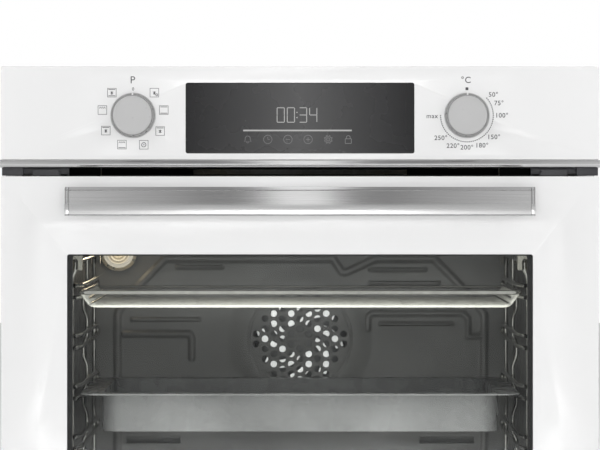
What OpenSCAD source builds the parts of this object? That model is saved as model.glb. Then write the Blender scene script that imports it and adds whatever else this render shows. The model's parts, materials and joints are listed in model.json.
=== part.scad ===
// Built-in wall oven: a sheet-metal casing round an insulated enamelled cavity, with a bottom-hinged
// glass door, two control knobs, a touch display, side racks, a wire shelf, a baking tray, a convection
// fan and a cooling fan. Millimetres, +Z up, the front faces -Y, origin at the middle of the base.
// Inside the modules, y is counted from the front face of the door, and place() moves it to the origin.

/* [Front] */
// Width of the door and of the control panel
front_w = 594; // [590:1:596]
// Height from the base to the top of the control panel
front_h = 595; // [593:1:598]
// Height of the control panel's white face
fascia_h = 92.8; // [92:0.2:94]
// Height of the steel strip under the control panel
strip_h = 8; // [7:0.5:9]
// Height of the air outlet between the strip and the door
outlet_h = 8.5; // [8:0.5:9]
// Distance of the two knobs from the middle
knob_x = 165.9; // [160:0.1:172]
// Radius of a knob's skirt
knob_r = 22.4; // [20:0.1:24]
// Height of the knobs' centres under the top of the control panel
knob_drop = 48.9; // [46:0.1:52]
// Width of the display window
display_w = 227.4; // [210:0.1:240]
// Height of the display window
display_h = 70.2; // [64:0.1:72]

/* [Door] */
// Gap between the base and the bottom edge of the door
door_gap = 10; // [9:1:12]
// Thickness of the closed door
door_t = 35; // [34:1:36]
// Width of the clear window
window_w = 463; // [450:1:466]
// Height of the window's top edge
window_top = 408; // [400:1:412]
// Height of the window's bottom edge
window_low = 124; // [118:1:140]
// Length of the handle with its end caps
handle_w = 463; // [440:1:470]
// Height of the handle bar's face
handle_h = 28.5; // [24:0.5:32]
// Height of the middle of the handle
handle_z = 460.8; // [455:0.1:462]
// How far the handle stands out
handle_reach = 42; // [40:1:50]

/* [Casing] */
// Width of the casing that goes into the cabinet
body_w = 556; // [554:1:558]
// Height of the casing
body_h = 577; // [576:1:580]
// Depth from the door's face to the back of the motor dome
body_d = 565; // [564:1:570]
// Thickness of the casing's sheet metal
sheet = 1.2; // [0.8:0.1:1.4]

/* [Cavity] */
// Width of the cavity
cavity_w = 480; // [478:1:482]
// Height of the cavity's floor
cavity_low = 106; // [105:1:107]
// Height of the cavity's ceiling
cavity_top = 461; // [460:1:462]
// Distance from the door's face to the panel at the back of the cavity
cavity_d = 455; // [454:1:456]
// Thickness of the enamelled sheet
enamel = 1.5; // [1.2:0.1:1.6]
// Height of the top shelf level's lower rail
level_z = 363.2; // [362:0.1:365]
// Distance between shelf levels
level_pitch = 51; // [50:0.5:52]
// Number of shelf levels
levels = 5; // [4:1:5]
// Distance between the two rails of one level
rail_gap = 12.1; // [12:0.1:13]

/* [Fans] */
// Radius of the convection fan
fan_r = 50; // [46:1:52]
// Height of the convection fan's axis
fan_z = 305.5; // [305:0.5:309]
// Radius of the cooling fan
blower_r = 66; // [60:1:68]

/* [Hidden] */
$fn = 48;

front_y = (handle_reach - body_d) / 2;
half_front = front_w / 2;
half_body = body_w / 2;
half_in = half_body - sheet;
half_cavity = cavity_w / 2;
casing_back = 545;
fascia_low = front_h - fascia_h;
strip_low = fascia_low - strip_h;
door_top = strip_low - outlet_h;
knob_z = front_h - knob_drop;
display_z = 543.5;
fascia_d = 18;
skin = 3;

// Door hinge axis, with the room that the turning door needs round it
pivot_y = 20;
pivot_z = 34;
pivot_room = 32;
hinge_x = 256;
pin_r = 4;
running = 0.05;

// Planes counted from the door's face
flange_y = 20;
mouth_y = 40;
glass_t = 4;
mask_side = 5.4;
mask_top = 1.4;
base_y = 56;
base_h = 46;
frame_low = pivot_z + pivot_room;
liner_d = cavity_d + 27;
wool = 21;
air_gap = 12;

// Cabinet screws in the front frame
screw_x = 286.5;
screw_low = 120;
screw_high = 420;
screw_r = 2.5;

// Racks, shelf and tray. A bead is how far the ball at a bend stands proud of its wire
rail_r = 2.3;
rail_x = 223;
upright_r = 2.3;
weld = 0.6;
upright_x = rail_x + rail_r + upright_r - weld;
kink_x = upright_x + 4;
slot_r = upright_r + 0.3;
rack_front = 64;
rack_middle = 261;
rack_rear = 390;
shelf_r = 2.3;
shelf_half = 224.4;
shelf_front = 62;
shelf_back = 342;
shelf_z = level_z + rail_r + shelf_r + 0.55;
back_bar_r = 1.4;
bead = 0.25;
grid_drop = 14;
grid_r = 1.5;
grid_half = 212;
grid_pitch = 12;
tray_level = 2;
tray_z = level_z - tray_level * level_pitch + rail_r + 0.4;
tray_t = 1.2;
tray_half = 224;
tray_depth = 38;

// Lamp on the back panel
lamp_x = -203;
lamp_z = 402;
lamp_r = 20.7;

// Cooling fan over the cavity
blower_y = 400;
blower_low = 500;
blower_high = 548;
duct_half = 110;
duct_mouth = mouth_y + 12;

// Cable entry at the back
gland_x = 200;
gland_z = 530;
gland_bore = 5;

module place() {
  translate([0, front_y, 0]) children();
}

// Box between two limits on each axis
module span(x, y, z) {
  translate([x[0], y[0], z[0]]) cube([x[1] - x[0], y[1] - y[0], z[1] - z[0]]);
}

// Box with open walls of one thickness, hollow inside
module shell(x, y, z, t) {
  difference() {
    span(x, y, z);
    span([x[0] + t, x[1] - t], [y[0] + t, y[1] - t], [z[0] + t, z[1] - t]);
  }
}

module both_sides() {
  children();
  mirror([1, 0, 0]) children();
}

// Round bar between two points
module rod(p, q, r) {
  d = q - p;
  length = norm(d);
  translate(p)
    rotate([0, acos(d[2] / length), atan2(d[1], d[0])])
      cylinder(r = r, h = length);
}

// Rods end to end, with a ball at each bend
module wire(points, r, ball_r) {
  for (i = [0 : len(points) - 2]) rod(points[i], points[i + 1], r);
  for (i = [1 : len(points) - 2]) translate(points[i]) sphere(r = ball_r, $fn = 24);
}

// Half turn of a tube in the XY plane, open towards +y when turn is 0
module bend(p, radius, r, turn) {
  translate(p)
    rotate([0, 0, turn + 180])
      rotate_extrude(angle = 180)
        translate([radius, 0]) circle(r = r, $fn = 24);
}

// Rectangle with round corners, centred
module rounded(w, h, r) {
  square([w - 2 * r, h], center = true);
  square([w, h - 2 * r], center = true);
  for (sx = [-1, 1], sz = [-1, 1]) translate([sx * (w / 2 - r), sz * (h / 2 - r)]) circle(r = r);
}

// Upright plate from y0 to y1 whose outline is drawn in X and Z
module plate(y0, y1) {
  translate([0, y1, 0]) rotate([90, 0, 0]) linear_extrude(height = y1 - y0) children();
}

// Cylinder along Y
module turned(x, z, y0, y1, r) {
  translate([x, y1, z]) rotate([90, 0, 0]) cylinder(r = r, h = y1 - y0);
}

// Row of upright slots in a plate
module slots(count, pitch, x, z, w, h) {
  for (i = [0 : count - 1]) translate([x + (i - (count - 1) / 2) * pitch, z]) square([w, h], center = true);
}

// ---- Casing ----

module base_pan() {
  color("silver") place() difference() {
    span([-half_in, half_in], [base_y, casing_back - sheet], [0, base_h]);
    span([sheet - half_in, half_in - sheet], [base_y + sheet, casing_back - 2 * sheet], [sheet, base_h + 1]);
    for (row = [0 : 2], i = [-4 : 4])
      translate([i * 50, 160 + row * 120, -1]) cube([34, 5, 4], center = false);
    both_sides() span([hinge_x - 9, hinge_x + 9], [base_y - 1, base_y + 3], [16, base_h + 1]);
  }
}

module side_panel() {
  place() difference() {
    span([half_in, half_body], [flange_y + enamel, casing_back], [0, body_h]);
    for (row = [0 : 5]) span([half_in - 1, half_body + 1], [430, 500], [440 + row * 14, 445 + row * 14]);
    for (row = [0 : 3]) span([half_in - 1, half_body + 1], [100, 150], [20 + row * 12, 24 + row * 12]);
    span([half_in - 1, half_body + 1], [0, pivot_y + pivot_room], [-1, frame_low]);
  }
}

module side_panel_left() {
  color("silver") mirror([1, 0, 0]) side_panel();
}

module side_panel_right() {
  color("silver") side_panel();
}

module top_cover() {
  color("silver") place() difference() {
    span([-half_in, half_in], [flange_y + enamel, casing_back], [body_h - sheet, body_h]);
    for (row = [0 : 7])
      translate([0, 340 + row * 16, body_h]) cube([110 + 12 * min(row, 7 - row), 5, 4], center = true);
  }
}

module rear_upper_panel() {
  color("silver") place() plate(casing_back - sheet, casing_back) difference() {
    translate([-half_in, 500]) square([2 * half_in, body_h - sheet - 500]);
    translate([gland_x, gland_z]) circle(r = 10);
    slots(9, 18, -90, 540, 7, 40);
  }
}

module rear_cover() {
  dome_x = 110;
  dome_low = 200;
  dome_high = 420;
  color("silver") place() difference() {
    union() {
      span([-half_in, half_in], [casing_back - sheet, casing_back], [base_h + 1, 499]);
      span([-dome_x, dome_x], [casing_back, body_d], [dome_low, dome_high]);
    }
    span([sheet - dome_x, dome_x - sheet], [casing_back - 5, body_d - sheet],
      [dome_low + sheet, dome_high - sheet]);
    plate(body_d - 5, body_d + 5) for (row = [-1, 1]) slots(10, 16, 0, fan_z + row * 40, 6, 60);
    plate(casing_back - 5, casing_back + 5) {
      slots(10, 20, -190, 460, 8, 40);
      slots(10, 20, -190, 100, 8, 40);
      slots(10, 20, 190, 460, 8, 40);
      slots(10, 20, 190, 100, 8, 40);
    }
  }
}

module front_frame() {
  mid_z = (cavity_top + cavity_low) / 2;
  color("gainsboro") place() {
    plate(mouth_y, mouth_y + enamel) difference() {
      translate([-half_in, frame_low]) square([2 * half_in, door_top - 2 - frame_low]);
      translate([0, mid_z]) rounded(cavity_w, cavity_top - cavity_low, 14);
    }
    both_sides() {
      span([half_in - enamel, half_in], [flange_y, mouth_y + 0.5], [frame_low, door_top - 2]);
      difference() {
        span([half_in - 0.5, half_front - 3], [flange_y, flange_y + enamel], [frame_low, body_h - 2]);
        for (z = [screw_low, screw_high]) turned(screw_x, z, flange_y - 2, flange_y + 4, screw_r);
      }
    }
  }
}

// ---- Cavity ----

module cavity_outline(grow) {
  translate([0, (cavity_top + cavity_low) / 2])
    rounded(cavity_w + 2 * grow, cavity_top - cavity_low + 2 * grow, 14 + grow);
}

module element_holes(r) {
  for (x = [-33, 33]) translate([x, cavity_top - 13]) circle(r = r);
  for (x = [-10, 10]) translate([x, fan_z - 75]) circle(r = r);
}

module cavity_liner() {
  color("dimgray") place() {
    plate(mouth_y + enamel, liner_d) difference() {
      cavity_outline(enamel);
      cavity_outline(0);
    }
    plate(liner_d, liner_d + enamel) difference() {
      cavity_outline(enamel);
      translate([0, fan_z]) circle(r = 10);
      translate([lamp_x, lamp_z]) circle(r = lamp_r + 0.5);
      element_holes(5);
    }
  }
}

// Raised pressings of the back panel: a border and short bars round the fan grille
module border_line(points, w) {
  for (i = [0 : len(points) - 2]) {
    d = points[i + 1] - points[i];
    translate(points[i]) rotate(atan2(d[1], d[0])) translate([0, -w / 2]) square([norm(d), w]);
  }
  for (p = points) translate(p) circle(r = w / 2 + 0.3);
}

module pressings() {
  border_line([[-204, 130], [-204, 333], [-195, 350], [-151, 395], [37, 395], [47, 380], [52, 380],
    [85, 395], [150, 395], [194, 350], [206, 333], [206, 130], [-204, 130]], 8);
  border_line([[-137, 386], [-87, 386]], 4);
  border_line([[-187, 327], [-114, 327]], 5);
  border_line([[-198, 311], [-124, 311], [-121, 306], [-121, 284]], 7);
  border_line([[79, 383], [140, 383]], 4);
  border_line([[78, 368], [155, 368]], 4);
  border_line([[76, 316], [76, 330], [80, 334], [182, 334], [188, 328], [188, 308], [202, 308]], 6);
  border_line([[90, 322], [170, 322]], 4);
}

module grille_holes() {
  pitch = 11.3;
  for (i = [-5 : 5], j = [-6 : 6]) {
    x = i * pitch * cos(30);
    z = (j + (i % 2 == 0 ? 0 : 0.5)) * pitch;
    if (norm([x, z]) < 52 && norm([x, z]) > 6) translate([x, fan_z + z]) circle(r = 3.7, $fn = 20);
  }
}

module back_panel() {
  color("dimgray") place() difference() {
    union() {
      plate(cavity_d, cavity_d + enamel) cavity_outline(-0.4);
      plate(cavity_d - 3, cavity_d + 0.5) pressings();
      turned(0, fan_z, cavity_d - 3, cavity_d + 0.5, 58.5);
    }
    plate(cavity_d - 5, cavity_d + 5) {
      grille_holes();
      translate([lamp_x, lamp_z]) circle(r = lamp_r - 3);
      element_holes(5);
      translate([-218, cavity_top - 11]) circle(r = 2.6);
      for (row = [0 : 4]) slots(2, 330, 0, 150 + row * 14, 60, 5);
    }
    turned(0, fan_z, cavity_d - 1.5, cavity_d + 5, 56);
  }
}

module insulation() {
  half = half_cavity + enamel;
  low = cavity_low - enamel;
  top = cavity_top + enamel;
  color("khaki") place() {
    both_sides() span([half + 0.5, half + wool], [mouth_y + 4, liner_d + 2], [low, top]);
    span([-half - wool, half + wool], [mouth_y + 4, liner_d + 2], [top + 0.5, top + wool]);
    span([-half - wool, half + wool], [mouth_y + 30, liner_d + 2], [low - air_gap - wool, low - air_gap]);
    plate(liner_d + 2, liner_d + 2 + wool) difference() {
      translate([-half - wool, low - air_gap - wool])
        square([2 * (half + wool), top - low + air_gap + 2 * wool]);
      translate([0, fan_z]) circle(r = 14);
      translate([lamp_x, lamp_z]) circle(r = lamp_r + 2);
      element_holes(7);
    }
  }
}

// ---- Heating elements ----

module grill_element() {
  r = 3.25;
  z = cavity_top - 13;
  color("gray") place() {
    for (s = [-1, 1]) {
      rod([s * 33, 120, z], [s * 33, liner_d + 28, z], r);
      bend([s * 66, 120, z], 33, r, 0);
      rod([s * 99, 120, z], [s * 99, 400, z], r);
      bend([s * 132, 400, z], 33, r, 180);
      rod([s * 165, 400, z], [s * 165, 75, z], r);
      translate([s * 165, 75, z]) sphere(r = r, $fn = 24);
      rod([s * 99, 250, z], [s * 99, 250, cavity_top], 1.5);
    }
    rod([-165, 75, z], [165, 75, z], r);
  }
}

module bottom_element() {
  r = 3.25;
  z = cavity_low - enamel - 6;
  color("gray") place() {
    for (s = [-1, 1]) {
      rod([s * 40, 430, z], [s * 40, 130, z], r);
      bend([s * 80, 130, z], 40, r, 0);
      rod([s * 120, 130, z], [s * 120, 400, z], r);
      bend([s * 150, 400, z], 30, r, 180);
      rod([s * 180, 400, z], [s * 180, 78, z], r);
      translate([s * 180, 78, z]) sphere(r = r, $fn = 24);
    }
    rod([-180, 78, z], [180, 78, z], r);
  }
}

module ring_element() {
  r = 3.25;
  y = cavity_d + 12;
  color("gray") place() {
    translate([0, y, fan_z]) rotate([90, 0, 0]) rotate([0, 0, -82.5])
      rotate_extrude(angle = 345) translate([75, 0]) circle(r = r, $fn = 24);
    for (x = [-10, 10]) rod([x, y, fan_z - 75], [x, liner_d + 28, fan_z - 75], r);
  }
}

// ---- Convection fan ----

module convection_fan() {
  y0 = cavity_d + 4;
  y1 = cavity_d + 20;
  color("silver") place() {
    turned(0, fan_z, y1 - 1.2, y1, fan_r);
    turned(0, fan_z, y0, y1, 9);
    for (i = [0 : 15]) translate([0, 0, fan_z]) rotate([0, i * 22.5, 0])
      span([22, fan_r - 1], [y0, y1 - 1], [-0.6, 0.6]);
    turned(0, fan_z, y1 - 0.5, liner_d + 42, 4);
  }
}

module fan_motor() {
  y0 = liner_d + wool + 5;
  color("dimgray") place() difference() {
    union() {
      turned(0, fan_z, y0 + 3, y0 + 50, 30);
      turned(0, fan_z, y0, y0 + 4, 12);
      plate(y0 + 8, y0 + 38) translate([0, fan_z - 38]) square([64, 40], center = true);
    }
    turned(0, fan_z, y0 - 1, liner_d + 44, 4 + running);
  }
}

module motor_bracket() {
  y0 = liner_d + wool + 2.2;
  color("silver") place() plate(y0, y0 + 2) difference() {
    union() {
      translate([0, fan_z]) rounded(150, 60, 10);
      translate([0, fan_z]) rounded(60, 150, 10);
    }
    translate([0, fan_z]) circle(r = 14);
    element_holes(6);
  }
}

// ---- Racks, shelf and tray ----

function level(i) = level_z - i * level_pitch;

rack_low = level(levels - 1) - 22;
rack_top = 400;

// Upright that touches the rails at each level and stands off between the levels
module kinked_upright(y) {
  kinks = [for (i = [levels - 1 : -1 : 1]) let (z = level(i))
    each [[upright_x, y, z + 25], [kink_x, y, z + 33],
      [kink_x, y, z + level_pitch - 4], [upright_x, y, z + level_pitch + 3]]];
  wire(concat([[upright_x, y, rack_low]], kinks, [[upright_x, y, rack_top]]), upright_r, upright_r + bead);
}

module side_rack() {
  place() {
    for (y = [rack_front, rack_rear]) rod([upright_x, y, rack_low], [upright_x, y, rack_top], upright_r);
    kinked_upright(rack_middle);
    for (i = [0 : levels - 1], z = [level(i), level(i) + rail_gap])
      rod([rail_x, rack_front - 4, z], [rail_x, rack_rear + 4, z], rail_r);
    for (z = [rack_low, rack_top]) {
      rod([upright_x, rack_front, z], [upright_x, rack_rear, z], upright_r);
      for (y = [rack_front, rack_rear]) translate([upright_x, y, z]) sphere(r = upright_r + bead, $fn = 24);
    }
  }
}

module side_rack_left() {
  color("lightgray") mirror([1, 0, 0]) side_rack();
}

module side_rack_right() {
  color("lightgray") side_rack();
}

module rack_studs() {
  color("tan") place() both_sides()
    for (y = [rack_front, rack_rear], z = [rack_low, rack_top])
      difference() {
        span([220, half_cavity], [y - 6, y + 6], [z - 9, z + 6]);
        rod([upright_x, y - 10, z], [upright_x, y + 10, z], slot_r);
        span([upright_x - slot_r, upright_x + slot_r], [y - 10, y + 10], [z - 10, z]);
        span([upright_x - slot_r, upright_x + slot_r], [y - slot_r, y + slot_r], [z - 10, z + 12]);
      }
}

module cross_wire(y) {
  low = shelf_z - grid_drop;
  side = shelf_half - shelf_r - 0.8;
  wire([[-side, y, shelf_z], [-grid_half, y, low], [grid_half, y, low], [side, y, shelf_z]], grid_r, grid_r + bead);
}

module wire_shelf() {
  side = shelf_half - shelf_r;
  color("lightgray") place() {
    rod([-side, shelf_front, shelf_z], [side, shelf_front, shelf_z], shelf_r);
    rod([2 - side, shelf_back, shelf_z - 1.2], [side - 2, shelf_back, shelf_z - 1.2], back_bar_r);
    both_sides() {
      rod([side, shelf_front, shelf_z], [side, shelf_back, shelf_z], shelf_r);
      for (y = [shelf_front, shelf_back]) translate([side, y, shelf_z]) sphere(r = shelf_r + bead, $fn = 24);
    }
    for (y = [shelf_front + 8 : grid_pitch : shelf_back - 6]) cross_wire(y);
    both_sides() rod([grid_half * 0.5, shelf_front + 8, shelf_z - grid_drop - grid_r],
      [grid_half * 0.5, shelf_back - 8, shelf_z - grid_drop - grid_r], 2);
  }
}

module baking_tray() {
  y0 = 70;
  y1 = 400;
  mid = (y0 + y1) / 2;
  wall = 203;
  deep = (y1 - y0) - 44;
  color("darkslategray") place() translate([0, mid, 0]) difference() {
    union() {
      translate([0, 0, tray_z]) linear_extrude(height = tray_t) rounded(2 * tray_half, y1 - y0, 16);
      translate([0, 0, tray_z - tray_depth]) linear_extrude(height = tray_depth + tray_t)
        rounded(2 * wall, deep, 20);
    }
    translate([0, 0, tray_z - tray_depth + tray_t]) linear_extrude(height = tray_depth + 5)
      rounded(2 * (wall - tray_t), deep - 2 * tray_t, 20 - tray_t);
  }
}

// ---- Lamp ----

module lamp_housing() {
  color("whitesmoke") place() difference() {
    union() {
      turned(lamp_x, lamp_z, cavity_d + enamel, liner_d + 34, lamp_r - 0.2);
      turned(lamp_x, lamp_z, liner_d + enamel, liner_d + enamel + 0.5, lamp_r + 1.5);
    }
    turned(lamp_x, lamp_z, cavity_d, liner_d + 20, lamp_r - 2.5);
    turned(lamp_x, lamp_z, liner_d + 15, liner_d + 32, 7);
  }
}

module lamp_bulb() {
  color("lightyellow") place() {
    turned(lamp_x, lamp_z, liner_d, liner_d + 31, 6.5);
    translate([lamp_x, liner_d - 6, lamp_z]) sphere(r = 12);
  }
}

module lamp_cover() {
  color("ivory") place() difference() {
    union() {
      turned(lamp_x, lamp_z, cavity_d - 4, cavity_d, lamp_r);
      turned(lamp_x, lamp_z, cavity_d - 9, cavity_d - 4, 17);
      turned(lamp_x, lamp_z, cavity_d - 1, cavity_d + 10, lamp_r - 3.2);
    }
    turned(lamp_x, lamp_z, cavity_d - 6.5, cavity_d + 12, lamp_r - 5.5);
  }
}

// ---- Front of the casing ----

module door_gasket() {
  color("dimgray") place() plate(door_t + 0.4, mouth_y) difference() {
    cavity_outline(14);
    cavity_outline(6);
  }
}

module control_fascia() {
  color("white") place() difference() {
    span([-half_front, half_front], [0, fascia_d], [fascia_low, front_h]);
    span([skin - half_front, half_front - skin], [skin, fascia_d + 1], [fascia_low + skin, front_h - skin]);
    plate(-1, skin + 1) translate([0, display_z]) rounded(display_w, display_h, 2.2);
    for (s = [-1, 1]) turned(s * knob_x, knob_z, -1, skin + 1, 5.5);
  }
}

module fascia_strip() {
  color("silver") place() {
    span([-half_front - 1.2, half_front + 1.2], [2, fascia_d], [strip_low, fascia_low]);
    rod([-half_front - 1.2, 2, strip_low + strip_h / 2], [half_front + 1.2, 2, strip_low + strip_h / 2],
      strip_h / 2);
  }
}

module fascia_bracket() {
  color("silver") place() {
    plate(fascia_d, fascia_d + enamel) difference() {
      translate([-half_in, strip_low]) square([2 * half_in, front_h - 4 - strip_low]);
      translate([0, display_z]) square([200, 50], center = true);
      for (s = [-1, 1]) translate([s * knob_x, knob_z]) circle(r = 6);
    }
    span([1 - half_in, half_in - 1], [fascia_d, mouth_y + 36], [strip_low, strip_low + enamel]);
  }
}

module display_window() {
  color("black") place() plate(0.2, skin)
    translate([0, display_z]) rounded(display_w - 0.4, display_h - 0.4, 2);
}

module display_module() {
  color("darkgreen") place() {
    span([-105, 105], [skin + 3, skin + 5], [display_z - 30, display_z + 30]);
    span([-60, 60], [skin, skin + 3], [display_z - 6, display_z + 24]);
    for (i = [-2.5 : 1 : 2.5]) turned(i * 20, display_z - 24, skin, skin + 3, 5);
    span([-90, 90], [skin + 5, skin + 24], [display_z - 22, display_z + 22]);
  }
}

module knob() {
  rotate([90, 0, 0]) difference() {
    union() {
      cylinder(r = knob_r, h = 3.5);
      translate([0, 0, 3]) cylinder(r1 = knob_r - 1.2, r2 = knob_r - 2.6, h = 13);
      translate([0, 0, 15.5]) cylinder(r = knob_r - 2.9, h = 2.5);
      translate([0, 0, -34]) cylinder(r = 3, h = 36);
    }
    translate([0, 0, 17.2]) cylinder(r = knob_r - 4.4, h = 2);
    translate([-0.6, knob_r - 7, 16.8]) cube([1.2, 8, 3]);
  }
}

module function_knob() {
  color("lightgray") place() translate([-knob_x, -0.6, knob_z]) knob();
}

module temperature_knob() {
  color("lightgray") place() translate([knob_x, -0.6, knob_z]) knob();
}

module function_switch() {
  y0 = fascia_d + enamel;
  color("beige") place() difference() {
    union() {
      span([-knob_x - 22, 22 - knob_x], [y0, y0 + 34], [knob_z - 22, knob_z + 22]);
      for (i = [-1.5 : 1 : 1.5])
        span([i * 10 - knob_x - 3, i * 10 - knob_x + 3], [y0 + 33, y0 + 42], [knob_z - 1, knob_z]);
    }
    turned(-knob_x, knob_z, y0 - 1, y0 + 18, 3 + running);
  }
}

module thermostat() {
  y0 = fascia_d + enamel;
  color("beige") place() difference() {
    union() {
      turned(knob_x, knob_z, y0, y0 + 26, 21);
      span([knob_x - 14, knob_x + 14], [y0 + 25, y0 + 36], [knob_z - 14, knob_z + 14]);
    }
    turned(knob_x, knob_z, y0 - 1, y0 + 18, 3 + running);
  }
}

module thermostat_probe() {
  z = cavity_top - 11;
  color("silver") place() {
    rod([-218, 300, z], [-218, liner_d - 4, z], 2);
    rod([-218, 270, z], [-218, 310, z], 3);
    for (y = [290, 400]) span([-221, -215], [y, y + 4], [z, cavity_top]);
  }
}

module outlet_trim() {
  color("darkslategray") place() both_sides() {
    span([half_front - 21.7, half_front - 0.4], [4, 16], [door_top + 0.6, strip_low]);
    difference() {
      span([half_front - 67, half_front - 31], [4, 10], [door_top + 0.6, door_top + 6.6]);
      translate([half_front - 67, 0, door_top + 6.6]) rotate([0, 30, 0]) cube([20, 40, 8], center = true);
    }
    span([half_front - 67, half_front - 20], [10, 16], [door_top + 2, strip_low]);
  }
}

// ---- Cooling and wiring ----

module air_duct() {
  color("silver") place() difference() {
    union() {
      span([-duct_half, duct_half], [100, blower_y - 84], [blower_low, blower_low + 34]);
      span([-200, 200], [duct_mouth, 101], [door_top + 1, strip_low - 0.3]);
      span([-duct_half, duct_half], [80, 101], [door_top + 1, blower_low + 34]);
    }
    span([1 - duct_half, duct_half - 1], [101, blower_y], [blower_low + 1, blower_low + 33]);
    span([-199, 199], [duct_mouth - 1, 100], [door_top + 2, strip_low - 1.3]);
    span([1 - duct_half, duct_half - 1], [81, 102], [door_top + 2, blower_low + 33]);
  }
}

module blower_housing() {
  outer = blower_r + 16;
  color("silver") place() difference() {
    union() {
      translate([0, blower_y, blower_low]) cylinder(r = outer, h = blower_high - blower_low);
      span([-70, 70], [blower_y - 84, blower_y], [blower_low, blower_low + 34]);
    }
    translate([0, blower_y, blower_low + 1]) cylinder(r = outer - 1, h = blower_high - blower_low - 2);
    span([-69, 69], [blower_y - 90, blower_y], [blower_low + 1, blower_low + 33]);
    translate([0, blower_y, blower_high - 2]) cylinder(r = 44, h = 4);
  }
}

module cooling_fan() {
  low = blower_low + 4;
  high = blower_high - 8;
  color("silver") place() translate([0, blower_y, 0]) {
    translate([0, 0, low]) cylinder(r = blower_r, h = 1.5);
    translate([0, 0, low]) cylinder(r = 8, h = 22);
    translate([0, 0, high - 3]) difference() {
      cylinder(r = blower_r, h = 3);
      translate([0, 0, -1]) cylinder(r = blower_r - 6, h = 5);
    }
    for (i = [0 : 23]) rotate([0, 0, i * 15])
      translate([blower_r - 13, -0.5, low + 0.5]) cube([12, 1, high - low - 2]);
    translate([0, 0, low]) cylinder(r = 3, h = 62);
  }
}

module blower_motor() {
  low = blower_high + 3;
  color("dimgray") place() translate([0, blower_y, 0]) difference() {
    union() {
      translate([0, 0, low]) cylinder(r = 26, h = body_h - sheet - low - 4);
      for (i = [0 : 2]) rotate([0, 0, 30 + i * 120]) {
        translate([20, -4, low]) cube([38, 8, 3]);
        translate([52, -4, blower_high]) cube([6, 8, 5]);
      }
    }
    translate([0, 0, low - 1]) cylinder(r = 3 + running, h = 22);
  }
}

module terminal_block() {
  color("ivory") place() {
    span([gland_x - 26, gland_x + 26], [498, 516], [520, 540]);
    for (i = [-2 : 2]) translate([gland_x + i * 10, 507, 540]) cylinder(r = 3, h = 2);
    span([gland_x - 30, gland_x + 30], [496, 518], [517, 520]);
  }
}

module terminal_cover() {
  color("darkslategray") place() difference() {
    span([gland_x - 36, gland_x + 36], [490, casing_back - sheet], [508, 558]);
    span([gland_x - 34, gland_x + 34], [492, casing_back], [510, 556]);
    span([gland_x - 40, gland_x - 30], [510, 520], [512, 530]);
  }
}

module cable_gland() {
  color("dimgray") place() difference() {
    union() {
      turned(gland_x, gland_z, casing_back - 8, casing_back + 12, 9.8);
      turned(gland_x, gland_z, casing_back, casing_back + 4, 13);
      turned(gland_x, gland_z, casing_back - 5, casing_back - sheet, 12);
    }
    turned(gland_x, gland_z, casing_back - 9, casing_back + 13, gland_bore);
  }
}

// ---- Hinges ----

module hinge_receptacles() {
  color("dimgray") place() both_sides() difference() {
    span([hinge_x - 8, hinge_x + 8], [base_y + 4, 114], [14, 56]);
    span([hinge_x - 2.5, hinge_x + 2.5], [base_y, 115], [pivot_z - 8, 60]);
  }
}

module hinge_arms() {
  color("gray") place() both_sides() difference() {
    union() {
      rod([hinge_x - 1.5, pivot_y, pivot_z], [hinge_x + 1.5, pivot_y, pivot_z], 8);
      span([hinge_x - 1.5, hinge_x + 1.5], [pivot_y, 106], [pivot_z - 6, pivot_z + 6]);
      span([hinge_x - 1.5, hinge_x + 1.5], [92, 106], [pivot_z - 6, pivot_z + 16]);
    }
    rod([hinge_x - 5, pivot_y, pivot_z], [hinge_x + 5, pivot_y, pivot_z], pin_r + running);
  }
}

module hinge_cases() {
  color("silver") place() both_sides() {
    for (x = [hinge_x - 6, hinge_x + 4]) difference() {
      span([x, x + 2], [glass_t + 1, door_t - 6], [door_gap + 6, 140]);
      rod([x - 1, pivot_y, pivot_z], [x + 3, pivot_y, pivot_z], pin_r);
    }
    span([hinge_x - 6, hinge_x + 6], [glass_t + 1, glass_t + 3], [door_gap + 6, 140]);
    span([hinge_x - 6, hinge_x + 6], [glass_t + 1, door_t - 6], [138, 140]);
  }
}

// Open coil swept along a helix
module coil(radius, r, length, turns) {
  sides = 8;
  steps = 12;
  count = turns * steps;
  points = [for (i = [0 : count], j = [0 : sides - 1])
    let (a = i * 360 / steps, b = j * 360 / sides, s = radius + r * cos(b))
    [s * cos(a), s * sin(a), i * length / count + r * sin(b)]];
  walls = [for (i = [0 : count - 1], j = [0 : sides - 1]) let (k = (j + 1) % sides)
    each [[i * sides + j, i * sides + k, (i + 1) * sides + k],
      [i * sides + j, (i + 1) * sides + k, (i + 1) * sides + j]]];
  first = [[for (j = [sides - 1 : -1 : 0]) j]];
  last = [[for (j = [0 : sides - 1]) count * sides + j]];
  polyhedron(points = points, faces = concat(walls, first, last));
}

module hinge_springs() {
  color("gray") place() both_sides() translate([hinge_x, pivot_y, 62]) coil(2.6, 0.8, 60, 12);
}

module hinge_pins() {
  color("silver") place() both_sides()
    rod([hinge_x - 7, pivot_y, pivot_z], [hinge_x + 7, pivot_y, pivot_z], pin_r);
}

// ---- Door ----

module window_outline(grow) {
  translate([0, (window_top + window_low) / 2])
    rounded(window_w + 2 * grow, window_top - window_low + 2 * grow, 2.2);
}

module door_front_panel() {
  color("white") place() plate(0, glass_t) difference() {
    translate([-half_front, door_gap]) square([front_w, door_top - door_gap]);
    window_outline(0);
  }
}

module door_window() {
  color([0.3, 0.3, 0.3, 0.4]) place() plate(0.3, glass_t) window_outline(0);
}

module window_mask() {
  color("black") place() plate(glass_t, glass_t + 1) difference() {
    window_outline(14);
    translate([0, (window_top + window_low + mask_side - mask_top) / 2])
      rounded(window_w - 2 * mask_side, window_top - window_low - mask_side - mask_top, 2.2);
  }
}

module door_middle_glass() {
  color([0.4, 0.4, 0.4, 0.4]) place() plate(17, 21)
    translate([-half_cavity, 62]) square([cavity_w, 400]);
}

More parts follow.
